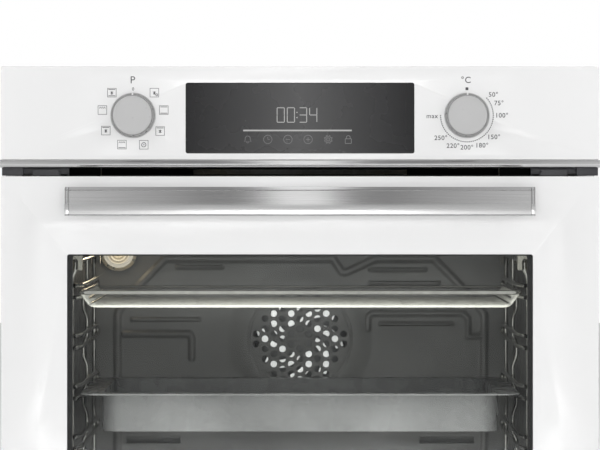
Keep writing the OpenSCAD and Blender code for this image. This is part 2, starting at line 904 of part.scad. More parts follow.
module door_inner_glass() {
  color([0.4, 0.4, 0.4, 0.4]) place() plate(door_t - glass_t, door_t)
    translate([-262, 60]) square([524, door_top - 72]);
}

module door_top_profile() {
  color("dimgray") place() difference() {
    span([-271, 271], [glass_t, door_t], [door_top - 12, door_top - 1.5]);
    for (i = [-9 : 9]) span([i * 26 - 9, i * 26 + 9], [10, 28], [door_top - 20, door_top + 1]);
  }
}

module door_side_profiles() {
  color("dimgray") place() both_sides() {
    span([264, 271], [glass_t, door_t], [door_gap + 4, door_top - 12]);
    span([half_cavity + 0.5, 264.5], [15, 17], [150, door_top - 12]);
  }
}

module door_bottom_profile() {
  color("dimgray") place() difference() {
    span([-246, 246], [glass_t, door_t], [46, 60]);
    for (i = [-8 : 8]) span([i * 28 - 10, i * 28 + 10], [10, 28], [40, 70]);
  }
}

module handle_profile() {
  y0 = -handle_reach;
  z0 = handle_z - handle_h / 2;
  z1 = handle_z + handle_h / 2;
  polygon([[y0 + 1, z0], [y0, z0 + 1], [y0, z1 - 3], [y0 + 3, z1], [y0 + 11, z1], [y0 + 12, z1 - 1],
    [y0 + 12, z0 + 1], [y0 + 11, z0]]);
}

module along_x(x0, x1) {
  translate([x0, 0, 0]) rotate([90, 0, 90]) linear_extrude(height = x1 - x0) children();
}

module handle_bar() {
  color("silver") place() along_x(4.4 - handle_w / 2, handle_w / 2 - 4.4) handle_profile();
}

module handle_end_caps() {
  color("silver") place() both_sides() along_x(handle_w / 2 - 4.2, handle_w / 2) handle_profile();
}

module handle_posts() {
  color("silver") place() both_sides() {
    plate(12 - handle_reach, 0) translate([217, handle_z]) rounded(22, 20, 3);
  }
}

module casing_screws() {
  color("gray") place() {
    both_sides() {
      for (z = [80, 240, 400, 480]) turned(half_in - 8, z, casing_back, casing_back + 1.8, 3.5);
      for (y = [80, 240, 400, 520], z = [30, 560]) rod([half_body, y, z], [half_body + 1.6, y, z], 3.5);
      for (x = [60, 200]) turned(x, 565, casing_back, casing_back + 1.8, 3.5);
      for (y = [90, 300, 500]) translate([half_in - 10, y, body_h]) cylinder(r = 3.5, h = 1.6);
    }
  }
}

base_pan();
side_panel_left();
side_panel_right();
top_cover();
rear_upper_panel();
rear_cover();
front_frame();
cavity_liner();
back_panel();
insulation();
grill_element();
bottom_element();
ring_element();
fan_motor();
motor_bracket();
side_rack_left();
side_rack_right();
rack_studs();
lamp_housing();
lamp_bulb();
lamp_cover();
door_gasket();
control_fascia();
fascia_strip();
fascia_bracket();
display_window();
display_module();
function_switch();
thermostat();
thermostat_probe();
air_duct();
blower_housing();
blower_motor();
terminal_block();
terminal_cover();
cable_gland();
hinge_receptacles();
hinge_arms();
outlet_trim();
casing_screws();
door_front_panel();
door_window();
window_mask();
door_middle_glass();
door_inner_glass();
door_top_profile();
door_side_profiles();
door_bottom_profile();
hinge_cases();
hinge_springs();
hinge_pins();
handle_bar();
handle_end_caps();
handle_posts();
function_knob();
temperature_knob();
wire_shelf();
baking_tray();
convection_fan();
cooling_fan();
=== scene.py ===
"""Looks of the built-in wall oven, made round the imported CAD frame. Metres, +Z up, the front faces -Y."""

import json
import math
import bmesh
import bpy
from mathutils import Matrix, Vector


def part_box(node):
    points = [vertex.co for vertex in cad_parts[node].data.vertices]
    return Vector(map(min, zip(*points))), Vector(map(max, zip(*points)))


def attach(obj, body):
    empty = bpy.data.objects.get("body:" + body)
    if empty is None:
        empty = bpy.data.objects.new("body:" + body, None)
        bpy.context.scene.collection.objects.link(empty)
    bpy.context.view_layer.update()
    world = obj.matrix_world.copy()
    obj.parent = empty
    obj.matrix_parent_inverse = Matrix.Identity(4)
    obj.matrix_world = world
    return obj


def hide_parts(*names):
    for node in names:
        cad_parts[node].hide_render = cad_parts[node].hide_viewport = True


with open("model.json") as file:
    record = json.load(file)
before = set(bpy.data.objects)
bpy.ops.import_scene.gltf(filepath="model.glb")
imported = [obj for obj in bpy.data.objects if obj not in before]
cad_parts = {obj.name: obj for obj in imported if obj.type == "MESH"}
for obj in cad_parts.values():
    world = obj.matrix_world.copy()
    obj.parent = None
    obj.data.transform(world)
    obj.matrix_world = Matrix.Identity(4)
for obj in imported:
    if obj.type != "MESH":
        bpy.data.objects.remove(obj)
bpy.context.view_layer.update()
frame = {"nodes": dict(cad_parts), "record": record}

NODES = frame["nodes"]
MM = 0.001

# ---------------------------------------------------------------- places that follow from the frame

PANEL_LOW, PANEL_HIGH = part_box("control_fascia")
DOOR_LOW, DOOR_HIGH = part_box("door_front_panel")
WINDOW_LOW, WINDOW_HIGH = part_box("door_window")
SCREEN_LOW, SCREEN_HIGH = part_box("display_window")
KNOB_LEFT = sum(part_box("function_knob"), Vector()) / 2
KNOB_RIGHT = sum(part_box("temperature_knob"), Vector()) / 2
FRONT_Y = DOOR_LOW.y
PRINT = 0.05 * MM  # how far a print stands proud of its surface


# ---------------------------------------------------------------- mesh helpers


def linked(name, data):
    """A new object in the scene with this data."""
    obj = bpy.data.objects.new(name, data)
    bpy.context.scene.collection.objects.link(obj)
    return obj


def finished(bm, name, mesh=None):
    """The mesh that bm describes: a new one, or the given one overwritten. Frees bm."""
    mesh = mesh or bpy.data.meshes.new(name)
    bm.to_mesh(mesh)
    bm.free()
    return mesh


def piece(name, mesh, body, slot, replaces=(), smooth=30, mat=None):
    """Links a mesh as a piece of the object. It wears mat, or else the material named like its slot."""
    obj = linked(name, mesh)
    mesh.materials.clear()
    mesh.materials.append(MAT[mat or slot])
    mesh.shade_smooth()
    mesh.set_sharp_from_angle(angle=math.radians(smooth))
    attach(obj, body)
    if replaces:
        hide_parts(*replaces)
    return obj


def mesh_from_curve(curve):
    """The mesh of a curve, with its loose seams joined."""
    obj = linked("scratch", curve)
    graph = bpy.context.evaluated_depsgraph_get()
    mesh = bpy.data.meshes.new_from_object(obj.evaluated_get(graph))
    bpy.data.objects.remove(obj)
    bm = bmesh.new()
    bm.from_mesh(mesh)
    bmesh.ops.remove_doubles(bm, verts=bm.verts, dist=1e-6)
    bmesh.ops.recalc_face_normals(bm, faces=bm.faces)
    return finished(bm, "", mesh)


def around(x, z, r, a):
    """The point at distance r from (x, z), at the angle a clockwise from the top."""
    return x + r * math.sin(a), z + r * math.cos(a)


def flat_curve(name, half):
    """An empty filled curve, with half its thickness."""
    curve = bpy.data.curves.new(name, "CURVE")
    curve.dimensions = "2D"
    curve.fill_mode = "BOTH"
    curve.extrude = half
    return curve


def round_curve(name, r, resolution):
    """An empty curve that draws round wires with closed ends."""
    curve = bpy.data.curves.new(name, "CURVE")
    curve.dimensions = "3D"
    curve.bevel_depth = r
    curve.bevel_resolution = resolution
    curve.use_fill_caps = True
    return curve


def add_poly(curve, points, cyclic=True):
    spline = curve.splines.new("POLY")
    spline.points.add(len(points) - 1)
    for spot, p in zip(spline.points, points):
        spot.co = (p[0], p[1], p[2] if len(p) > 2 else 0, 1)
    spline.use_cyclic_u = cyclic


def circle(x, z, r, steps):
    turns = [i * math.tau / steps for i in range(steps)]
    return [(x + r * math.cos(a), z + r * math.sin(a)) for a in turns]


def arc(x, z, r, a0, a1, steps=24):
    """Points on an arc, with angles in degrees, clockwise from the top."""
    return [around(x, z, r, math.radians(a0 + (a1 - a0) * i / steps)) for i in range(steps + 1)]


def rounded(x0, x1, z0, z1, r, steps=8):
    points = []
    corners = ((x1 - r, z1 - r, 0), (x0 + r, z1 - r, 90), (x0 + r, z0 + r, 180), (x1 - r, z0 + r, 270))
    for cx, cz, turn in corners:
        for i in range(steps + 1):
            a = math.radians(turn + 90 * i / steps)
            points.append((cx + r * math.cos(a), cz + r * math.sin(a)))
    return points


def face_outline(low, high, inset, r):
    """The outline of a box seen from the front, drawn in by inset, with corners of radius r."""
    return rounded(low.x + inset, high.x - inset, low.z + inset, high.z - inset, r)


def upright(mesh, y):
    """Turns a mesh drawn flat in X and Y into the X-Z plane at y, with its drawn front towards -Y."""
    mesh.transform(Matrix.Translation((0, y, 0)) @ Matrix.Rotation(math.pi / 2, 4, "X"))
    return mesh


def sheet_mesh(outlines, y0, y1, round_by=0.3 * MM):
    """A flat piece from y0 to y1 with filled outlines, holes among them, and rounded rims."""
    curve = flat_curve("outline", (y1 - y0) / 2 - round_by)
    curve.bevel_depth = round_by
    curve.bevel_resolution = 2 if round_by > 0.1 * MM else 0
    curve.offset = -round_by
    for points in outlines:
        add_poly(curve, points)
    return upright(mesh_from_curve(curve), (y0 + y1) / 2)


def print_mesh(outlines, y):
    """A printed mark: filled outlines that stand a hair proud of the surface at y."""
    curve = flat_curve("mark", PRINT / 2)
    for points in outlines:
        add_poly(curve, points)
    return upright(mesh_from_curve(curve), y - PRINT / 2)


def stroke_mesh(lines, width, y):
    """Printed lines of one width. Each is a list of (x, z) points; a closed one repeats its first point."""
    curve = round_curve("stroke", width / 2, 1)
    for points in lines:
        closed = len(points) > 3 and (Vector(points[0]) - Vector(points[-1])).length < 1e-7
        add_poly(curve, points[:-1] if closed else points, closed)
    mesh = mesh_from_curve(curve)
    mesh.transform(Matrix.Diagonal((1, 1, PRINT / width, 1)))
    return upright(mesh, y - PRINT / 2)


def text_mesh(text, x, z, size, y, bolder=0.06 * MM):
    """Generic dial lettering, centred on (x, z)."""
    font = bpy.data.curves.new("label", "FONT")
    font.body = text
    font.size = size
    font.offset = bolder
    font.space_character = 1.1
    font.align_x = "CENTER"
    font.align_y = "CENTER"
    font.extrude = PRINT / 2
    mesh = mesh_from_curve(font)
    mesh.transform(Matrix.Translation((x, z, 0)))
    return upright(mesh, y - PRINT / 2)


def round_path(points, bend, steps=5):
    """The path with its corners rounded, each over at most nearly half of its shorter side."""
    points = [Vector(p) for p in points]
    path = [points[0]]
    for before, corner, after in zip(points, points[1:], points[2:]):
        reach = min(bend, 0.48 * (before - corner).length, 0.48 * (after - corner).length)
        start = corner + (before - corner).normalized() * reach
        end = corner + (after - corner).normalized() * reach
        for i in range(steps + 1):
            t = i / steps
            path.append(start * (1 - t) ** 2 + corner * 2 * t * (1 - t) + end * t**2)
    return path + [points[-1]]


def wire_mesh(paths, r, bend=6 * MM):
    """Bent wires of one radius with closed ends."""
    curve = round_curve("wire", r, 3)
    for points in paths:
        add_poly(curve, round_path(points, bend), False)
    return mesh_from_curve(curve)


def joined(meshes):
    """One mesh from several."""
    bm = bmesh.new()
    for mesh in meshes:
        bm.from_mesh(mesh)
    return finished(bm, "joined")


def lathe_mesh(profile, centre, steps=96):
    """A solid turned about the Y line through centre. profile holds (radius, y) from end to end."""
    bm = bmesh.new()
    rings = []
    for r, h in profile:
        if r < 1e-7:
            rings.append([bm.verts.new((0, 0, h))])
        else:
            rings.append([bm.verts.new((x, y, h)) for x, y in circle(0, 0, r, steps)])
    for a, b in zip(rings, rings[1:]):
        for i in range(steps):
            k = (i + 1) % steps
            corners = [a[i % len(a)], a[k % len(a)], b[k % len(b)], b[i % len(b)]]
            corners = list(dict.fromkeys(corners))
            if len(corners) > 2:
                bm.faces.new(corners)
    bmesh.ops.recalc_face_normals(bm, faces=bm.faces)
    mesh = finished(bm, "lathe")
    mesh.transform(Matrix.Translation((centre.x, 0, centre.z)) @ Matrix.Rotation(-math.pi / 2, 4, "X"))
    return mesh


def soft_corner(r, h, size, start, end, steps=5):
    """Profile points of a rounded corner: centre (r, h), angles in degrees."""
    turns = [math.radians(start + (end - start) * i / steps) for i in range(steps + 1)]
    return [(r + size * math.cos(a), h + size * math.sin(a)) for a in turns]


def extruded_x(points, x0, x1, rim):
    """A bar along X whose section is the (y, z) points, with a small bevel on its edges."""
    bm = bmesh.new()
    ends = [[bm.verts.new((x, y, z)) for y, z in points] for x in (x0, x1)]
    bm.faces.new(ends[0])
    bm.faces.new(list(reversed(ends[1])))
    for i in range(len(points)):
        k = (i + 1) % len(points)
        bm.faces.new((ends[0][i], ends[1][i], ends[1][k], ends[0][k]))
    bmesh.ops.recalc_face_normals(bm, faces=bm.faces)
    edges = [e for e in bm.edges if e.calc_face_angle(0) > math.radians(25)]
    bmesh.ops.bevel(bm, geom=edges, offset=rim, segments=2, affect="EDGES", profile=0.6)
    return finished(bm, "bar")


def soften(node, width):
    """Rounds the sharp edges of a CAD node that keeps its own mesh."""
    obj = NODES[node]
    weld = obj.modifiers.new("weld", "WELD")
    weld.merge_threshold = 1e-5
    bevel = obj.modifiers.new("edges", "BEVEL")
    bevel.width = width
    bevel.segments = 2
    bevel.limit_method = "ANGLE"
    bevel.angle_limit = math.radians(35)
    bevel.harden_normals = False


# ---------------------------------------------------------------- materials


def set_stops(ramp, stops):
    """Sets a colour ramp to (place, colour) stops."""
    elements = ramp.color_ramp.elements
    while len(elements) < len(stops):
        elements.new(0.5)
    for element, (place, colour) in zip(elements, stops):
        element.position = place
        element.color = (*colour, 1)


class Recipe:
    """A material under construction: a Principled shader with helpers for its node tree."""

    def __init__(self, name):
        self.mat = bpy.data.materials.new(name)
        self.mat.use_nodes = True
        self.tree = self.mat.node_tree
        self.shader = self.tree.nodes["Principled BSDF"]
        self.coords = self.node("ShaderNodeTexCoord").outputs["Object"]

    def node(self, kind, **settings):
        made = self.tree.nodes.new(kind)
        for key, value in settings.items():
            setattr(made, key, value)
        return made

    def link(self, a, b):
        self.tree.links.new(a, b)

    def scaled(self, scale):
        mapping = self.node("ShaderNodeMapping")
        mapping.inputs["Scale"].default_value = scale
        self.link(self.coords, mapping.inputs["Vector"])
        return mapping.outputs["Vector"]

    def noise(self, scale, detail=3.0, stretch=(1, 1, 1), distortion=0.0):
        made = self.node("ShaderNodeTexNoise")
        made.inputs["Scale"].default_value = scale
        made.inputs["Detail"].default_value = detail
        made.inputs["Distortion"].default_value = distortion
        self.link(self.scaled(stretch), made.inputs["Vector"])
        return made.outputs["Fac"]

    def cells(self, scale, output):
        made = self.node("ShaderNodeTexVoronoi")
        made.inputs["Scale"].default_value = scale
        self.link(self.coords, made.inputs["Vector"])
        return made.outputs[output]

    def remap(self, value, low=0.0, high=1.0, from_low=0.3, from_high=0.7):
        made = self.node("ShaderNodeMapRange")
        made.inputs["From Min"].default_value = from_low
        made.inputs["From Max"].default_value = from_high
        made.inputs["To Min"].default_value = low
        made.inputs["To Max"].default_value = high
        self.link(value, made.inputs["Value"])
        return made.outputs["Result"]

    def mix(self, factor, a, b):
        made = self.node("ShaderNodeMix", data_type="RGBA")
        for socket, value in ((made.inputs[0], factor), (made.inputs[6], a), (made.inputs[7], b)):
            if isinstance(value, bpy.types.NodeSocket):
                self.link(value, socket)
            else:
                socket.default_value = value if isinstance(value, float) else (*value, 1)
        return made.outputs[2]

    def ramp(self, value, stops):
        made = self.node("ShaderNodeValToRGB")
        set_stops(made, stops)
        self.link(value, made.inputs["Fac"])
        return made.outputs["Color"]

    def tones(self, value, colour, dark, light):
        """The surface colour, from colour times dark where value is 0 to colour times light where it is 1."""
        self.colour(self.mix(value, shade(colour, dark), shade(colour, light)))

    def colour(self, value):
        self.link(value, self.shader.inputs["Base Color"])

    def rough(self, value):
        self.link(value, self.shader.inputs["Roughness"])

    def bump(self, height, distance, strength=0.5):
        made = self.node("ShaderNodeBump")
        made.inputs["Strength"].default_value = strength
        made.inputs["Distance"].default_value = distance
        self.link(height, made.inputs["Height"])
        if self.shader.inputs["Normal"].is_linked:
            self.link(self.shader.inputs["Normal"].links[0].from_socket, made.inputs["Normal"])
        self.link(made.outputs["Normal"], self.shader.inputs["Normal"])

    def set(self, **values):
        for key, value in values.items():
            self.shader.inputs[key.replace("_", " ")].default_value = value
        return self


def shade(colour, by):
    return tuple(min(1.0, c * by) for c in colour)


def painted(name, colour, rough=0.25, variation=0.04, grain=900, bump=0.02 * MM, coat=0.0, patches=9):
    """Paint, enamel or moulded plastic: soft colour patches, uneven gloss and a fine surface."""
    r = Recipe(name)
    r.tones(r.remap(r.noise(patches)), colour, 1 - variation, 1 + variation)
    r.rough(r.remap(r.noise(patches * 6, 4), rough * 0.8, rough * 1.25))
    r.bump(r.noise(grain, 2), bump)
    r.set(Coat_Weight=coat, Coat_Roughness=0.06, Coat_IOR=1.7)
    return r.mat


def brushed(name, colour, rough=0.28, along=(1, 90, 90), scale=14, variation=0.05):
    """Brushed metal: fine lines along one axis in colour, gloss and height."""
    r = Recipe(name)
    lines = r.noise(scale, 6, along)
    fine = r.noise(scale * 5, 3, along)
    r.tones(r.remap(lines), colour, 1 - variation, 1 + variation)
    r.rough(r.remap(fine, rough * 0.75, rough * 1.3))
    r.bump(fine, 0.01 * MM, 0.25)
    r.set(Metallic=1.0)
    return r.mat


def polished(name, colour, rough=0.12, scale=60):
    """Chromed or bare metal with faint stains and scratches."""
    r = Recipe(name)
    stains = r.noise(scale, 5, distortion=0.6)
    r.tones(r.remap(stains), colour, 0.86, 1.05)
    r.rough(r.remap(r.noise(scale * 4, 3), rough * 0.6, rough * 1.8))
    r.bump(r.noise(scale * 9, 2), 0.02 * MM, 0.4)
    r.set(Metallic=1.0)
    return r.mat


def galvanised(name, colour):
    """Zinc-coated sheet with its spangle."""
    r = Recipe(name)
    spangle = r.cells(90, "Color")
    grey = r.node("ShaderNodeRGBToBW")
    r.link(spangle, grey.inputs[0])
    r.tones(r.remap(grey.outputs[0], 0.0, 1.0, 0.2, 0.8), colour, 0.86, 1.08)
    r.rough(r.remap(grey.outputs[0], 0.30, 0.46, 0.2, 0.8))
    r.bump(r.noise(260, 3), 0.03 * MM, 0.3)
    r.bump(r.noise(4, 2), 0.8 * MM, 0.15)
    r.set(Metallic=1.0)
    return r.mat


def enamelled(name, colour, fleck, rough=0.38):
    """Vitreous enamel: glossy, slightly wavy, with small light flecks."""
    r = Recipe(name)
    base = r.mix(r.remap(r.noise(12, 3)), shade(colour, 0.85), shade(colour, 1.15))
    flecks = r.remap(r.cells(520, "Distance"), 1.0, 0.0, 0.10, 0.16)
    some = r.remap(r.noise(240, 1), 0.0, 1.0, 0.55, 0.60)
    both = r.node("ShaderNodeMath", operation="MULTIPLY")
    r.link(flecks, both.inputs[0])
    r.link(some, both.inputs[1])
    r.colour(r.mix(both.outputs[0], base, fleck))
    r.rough(r.remap(r.noise(50, 4), rough * 0.8, rough * 1.3))
    r.bump(r.noise(420, 2), 0.02 * MM, 0.3)
    r.set(Coat_Weight=0.12, Coat_Roughness=0.2)
    return r.mat


def pane(name, tint, rough):
    """Flat glass: see-through with a mirror share that grows towards grazing angles, faintly smudged."""
    r = Recipe(name)
    clear = r.node("ShaderNodeBsdfTransparent")
    smudges = r.mix(r.remap(r.noise(5, 2)), shade(tint, 0.97), shade(tint, 1.02))
    r.link(smudges, clear.inputs["Color"])
    gloss = r.node("ShaderNodeBsdfGlossy")
    gloss.inputs["Color"].default_value = (0.95, 0.97, 1.0, 1)
    r.link(r.remap(r.noise(24, 4), rough, rough * 5), gloss.inputs["Roughness"])
    fresnel = r.node("ShaderNodeFresnel")
    fresnel.inputs["IOR"].default_value = 1.2
    join = r.node("ShaderNodeMixShader")
    r.link(fresnel.outputs[0], join.inputs[0])
    r.link(clear.outputs[0], join.inputs[1])
    r.link(gloss.outputs[0], join.inputs[2])
    r.link(join.outputs[0], r.tree.nodes["Material Output"].inputs["Surface"])
    r.tree.nodes.remove(r.shader)
    return r.mat


def glowing(name, colour, strength, base=0.06):
    """A lit surface, slightly uneven. base is the share of its colour that it shows unlit."""
    r = Recipe(name)
    patches = r.remap(r.noise(60, 2))
    r.tones(patches, colour, 0.9 * base, base)
    r.link(r.mix(patches, shade(colour, 0.9), colour), r.shader.inputs["Emission Color"])
    r.rough(r.remap(r.noise(300, 2), 0.3, 0.45))
    r.set(Emission_Strength=strength)
    return r.mat


def glass_with_painted_reflection(name, edge, middle, reach):
    """The display's dark glass: lighter grey in the middle, nearly black towards its ends. The grey middle is
    a painted reflection of the bright middle of the room.
    """
    r = Recipe(name)
    split = r.node("ShaderNodeSeparateXYZ")
    r.link(r.coords, split.inputs[0])
    aside = r.node("ShaderNodeMath", operation="ABSOLUTE")
    r.link(split.outputs["X"], aside.inputs[0])
    # painted reflection: the base colour runs from a lighter grey in the middle to near black at the ends
    # along x
    r.colour(r.mix(r.remap(aside.outputs[0], 0.0, 1.0, 0.0, reach), middle, edge))
    r.rough(r.remap(r.noise(30, 3), 0.24, 0.30))
    r.bump(r.noise(40, 2), 0.002 * MM, 0.3)
    return r.mat


def lit_lens(name, centre, r_max):
    """The lamp's pressed glass, lit from behind: warm cream with brighter rings towards its rim."""
    r = Recipe(name)
    shift = r.node("ShaderNodeVectorMath", operation="SUBTRACT")
    r.link(r.coords, shift.inputs[0])
    shift.inputs[1].default_value = centre
    length = r.node("ShaderNodeVectorMath", operation="LENGTH")
    r.link(shift.outputs[0], length.inputs[0])
    rings = ((0.0, 0.42), (0.35, 0.5), (0.42, 0.85), (0.48, 0.5))
    rings += ((0.66, 0.56), (0.72, 0.9), (0.78, 0.62), (0.9, 1.0))
    stops = [(place, (v, v * (0.72 + 0.2 * v), v * (0.38 + 0.42 * v))) for place, v in rings]
    glow = r.ramp(r.remap(length.outputs["Value"], 0.0, 1.0, 0.0, r_max), stops)
    r.colour(r.mix(r.remap(r.noise(200)), (0.10, 0.09, 0.07), (0.14, 0.13, 0.10)))
    r.link(glow, r.shader.inputs["Emission Color"])
    r.rough(r.remap(r.noise(90), 0.08, 0.2))
    r.set(Emission_Strength=0.62)
    return r.mat


def wool(name, colour):
    """Felted mineral wool."""
    r = Recipe(name)
    fibres = r.noise(420, 6, (1, 1, 2.5), 1.2)
    r.tones(r.remap(fibres), colour, 0.6, 1.25)
    r.rough(r.remap(fibres, 0.85, 1.0))
    r.bump(fibres, 1.2 * MM, 0.9)
    r.bump(r.noise(30, 3), 3 * MM, 0.5)
    r.set(Sheen_Weight=0.2)
    return r.mat


def woven(name, colour):
    """Braided gasket cord."""
    r = Recipe(name)
    wave = r.node("ShaderNodeTexWave", wave_type="BANDS", bands_direction="DIAGONAL")
    wave.inputs["Scale"].default_value = 260
    wave.inputs["Distortion"].default_value = 1.5
    r.link(r.coords, wave.inputs["Vector"])
    r.tones(wave.outputs["Fac"], colour, 0.6, 1.6)
    r.rough(r.remap(wave.outputs["Fac"], 0.6, 0.85, 0.0, 1.0))
    r.bump(wave.outputs["Fac"], 0.4 * MM, 0.8)
    return r.mat


def heated(name, colour, tint):
    """Element tube with heat colours in bands."""
    r = Recipe(name)
    bands = r.noise(14, 3, distortion=0.8)
    r.colour(r.mix(r.remap(bands), colour, tint))
    r.rough(r.remap(r.noise(220, 4), 0.32, 0.55))
    r.bump(r.noise(700, 3), 0.05 * MM, 0.4)
    r.set(Metallic=0.85)
    return r.mat


RECIPES = {
    "white_panel": (painted, (0.825, 0.825, 0.825), 0.12, 0.006, 700, 0.004 * MM, 1.0, 4),
    "stainless": (brushed, (0.70, 0.70, 0.70), 0.09),
    "handle_steel": (brushed, (0.72, 0.72, 0.72), 0.10),
    "knob_metal": (painted, (0.465, 0.465, 0.465), 0.34, 0.02, 1400, 0.01 * MM, 0.1, 40),
    # a darker copy of knob_metal: painted shade for the knob's skirt
    "knob_skirt": (painted, (0.25, 0.25, 0.25), 0.3, 0.04, 1400, 0.01 * MM, 0.1, 40),
    # black_glass carries a painted reflection in its base colour, lighter grey in the middle
    "black_glass": (glass_with_painted_reflection, (0.008, 0.008, 0.009), (0.07, 0.07, 0.071), 0.115),
    # near black for the outlet: partly its own black, partly painted shade for the depth of the gap
    "outlet_black": (painted, (0.006, 0.006, 0.006), 0.7, 0.2, 900, 0.02 * MM),
    "black_print": (painted, (0.012, 0.012, 0.012), 0.35, 0.1, 1200, 0.01 * MM),
    "grey_print": (painted, (0.06, 0.06, 0.065), 0.5, 0.08, 2600, 0.01 * MM, 0, 300),
    "display_light": (glowing, (0.50, 0.50, 0.49), 0.9),
    "touch_print": (glowing, (0.24, 0.24, 0.24), 0.7, 0.3),
    "grey_enamel": (enamelled, (0.080, 0.079, 0.076), (0.16, 0.16, 0.155)),
    "tray_enamel": (enamelled, (0.05, 0.05, 0.05), (0.20, 0.20, 0.20), 0.26),
    "galvanised_steel": (galvanised, (0.60, 0.61, 0.62)),
    "hinge_steel": (polished, (0.48, 0.48, 0.47), 0.3, 80),
    "fan_steel": (polished, (0.62, 0.62, 0.61), 0.25, 40),
    # fan_disc and fan_blade are shaded and lit copies of the fan's steel: painted shade and painted light
    "fan_disc": (painted, (0.05, 0.05, 0.05), 0.4, 0.15, 300, 0.03 * MM, 0.1, 60),
    "fan_blade": (painted, (0.78, 0.78, 0.78), 0.3, 0.05, 300, 0.02 * MM, 0.2, 60),
    "lamp_rim": (polished, (0.36, 0.34, 0.29), 0.3, 60),
    "chrome_wire": (polished, (0.62, 0.61, 0.58), 0.14, 120),
    # a diffuse warm grey standing in for chrome: painted reflection on the shelf's cross wires
    "satin_wire": (painted, (0.20, 0.197, 0.178), 0.42, 0.06, 900, 0.02 * MM, 0, 120),
    "stud_ceramic": (painted, (0.05, 0.048, 0.04), 0.35, 0.12, 500, 0.05 * MM, 0, 60),
    "mineral_wool": (wool, (0.50, 0.41, 0.22)),
    "element_tube": (heated, (0.23, 0.22, 0.21), (0.30, 0.24, 0.20)),
    "motor_steel": (painted, (0.10, 0.10, 0.11), 0.35, 0.1, 400, 0.05 * MM),
    "lamp_ceramic": (painted, (0.80, 0.78, 0.72), 0.2, 0.04, 300, 0.05 * MM, 0.5),
    "bulb_glass": (glowing, (1.0, 0.80, 0.52), 6.0, 0.5),
    "lamp_glass": (lit_lens, sum(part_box("lamp_cover"), Vector()) / 2, 17 * MM),
    "gasket": (woven, (0.055, 0.055, 0.055)),
    "circuit_board": (painted, (0.02, 0.12, 0.05), 0.3, 0.15, 500, 0.03 * MM, 0.3, 60),
    "switch_plastic": (painted, (0.62, 0.55, 0.38), 0.45, 0.05, 900, 0.02 * MM),
    "dark_plastic": (painted, (0.042, 0.042, 0.046), 0.42, 0.1, 1300, 0.03 * MM),
    "terminal_plastic": (painted, (0.70, 0.67, 0.56), 0.45, 0.05, 900, 0.02 * MM),
    "window_glass": (pane, (0.94, 0.945, 0.94), 0.015),
}
MAT = {name: make(name, *values) for name, (make, *values) in RECIPES.items()}

# painted shade: a low specular level keeps the outlet's near-black parts dark
MAT["outlet_black"].node_tree.nodes["Principled BSDF"].inputs["Specular IOR Level"].default_value = 0.06

SLOT_OF = {s["node"]: s["material_slot"] for s in frame["record"]["subparts"]}
# The air duct and the fascia bracket wear near black: partly the outlet's own black, partly painted shade for
# the deep gap over the door.
BLACK_AND_SHADE_IN_OUTLET = ("air_duct", "fascia_bracket")
for name, obj in NODES.items():
    obj.data.materials.clear()
    obj.data.materials.append(MAT["outlet_black" if name in BLACK_AND_SHADE_IN_OUTLET else SLOT_OF[name]])
    obj.data.shade_smooth()
    obj.data.set_sharp_from_angle(angle=math.radians(30))

# ---------------------------------------------------------------- control panel


def make_fascia():
    """The control panel: a plate with a screen opening and two shaft holes, on a turned-back rim."""
    depth = PANEL_HIGH.y - PANEL_LOW.y
    plate_t = 3 * MM
    knob_holes = [circle(k.x, k.z, 5.5 * MM, 48) for k in (KNOB_LEFT, KNOB_RIGHT)]
    screen = face_outline(SCREEN_LOW, SCREEN_HIGH, -0.2 * MM, 2.2 * MM)
    edge = face_outline(PANEL_LOW, PANEL_HIGH, 0, 0.9 * MM)
    face = sheet_mesh([edge, screen, *knob_holes], FRONT_Y, FRONT_Y + plate_t, 0.5 * MM)
    inner = face_outline(PANEL_LOW, PANEL_HIGH, plate_t, 0.8 * MM)
    rim = sheet_mesh([edge, inner], FRONT_Y + 1.5 * MM, FRONT_Y + depth, 0.3 * MM)
    mesh = joined([face, rim])
    piece("control_panel", mesh, "chassis", "white_panel", ["control_fascia"])


def make_strip():
    """The steel strip under the panel, with a half-round nose."""
    low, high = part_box("fascia_strip")
    mid, half = (low.z + high.z) / 2, (high.z - low.z) / 2
    nose = low.y + half
    turns = [math.pi * i / 20 for i in range(21)]
    section = [(nose - half * math.sin(t), mid + half * math.cos(t)) for t in turns]
    section += [(high.y, low.z), (high.y, high.z)]
    mesh = extruded_x(section, low.x, high.x, 0.25 * MM)
    piece("steel_strip", mesh, "chassis", "stainless", ["fascia_strip"], 40)


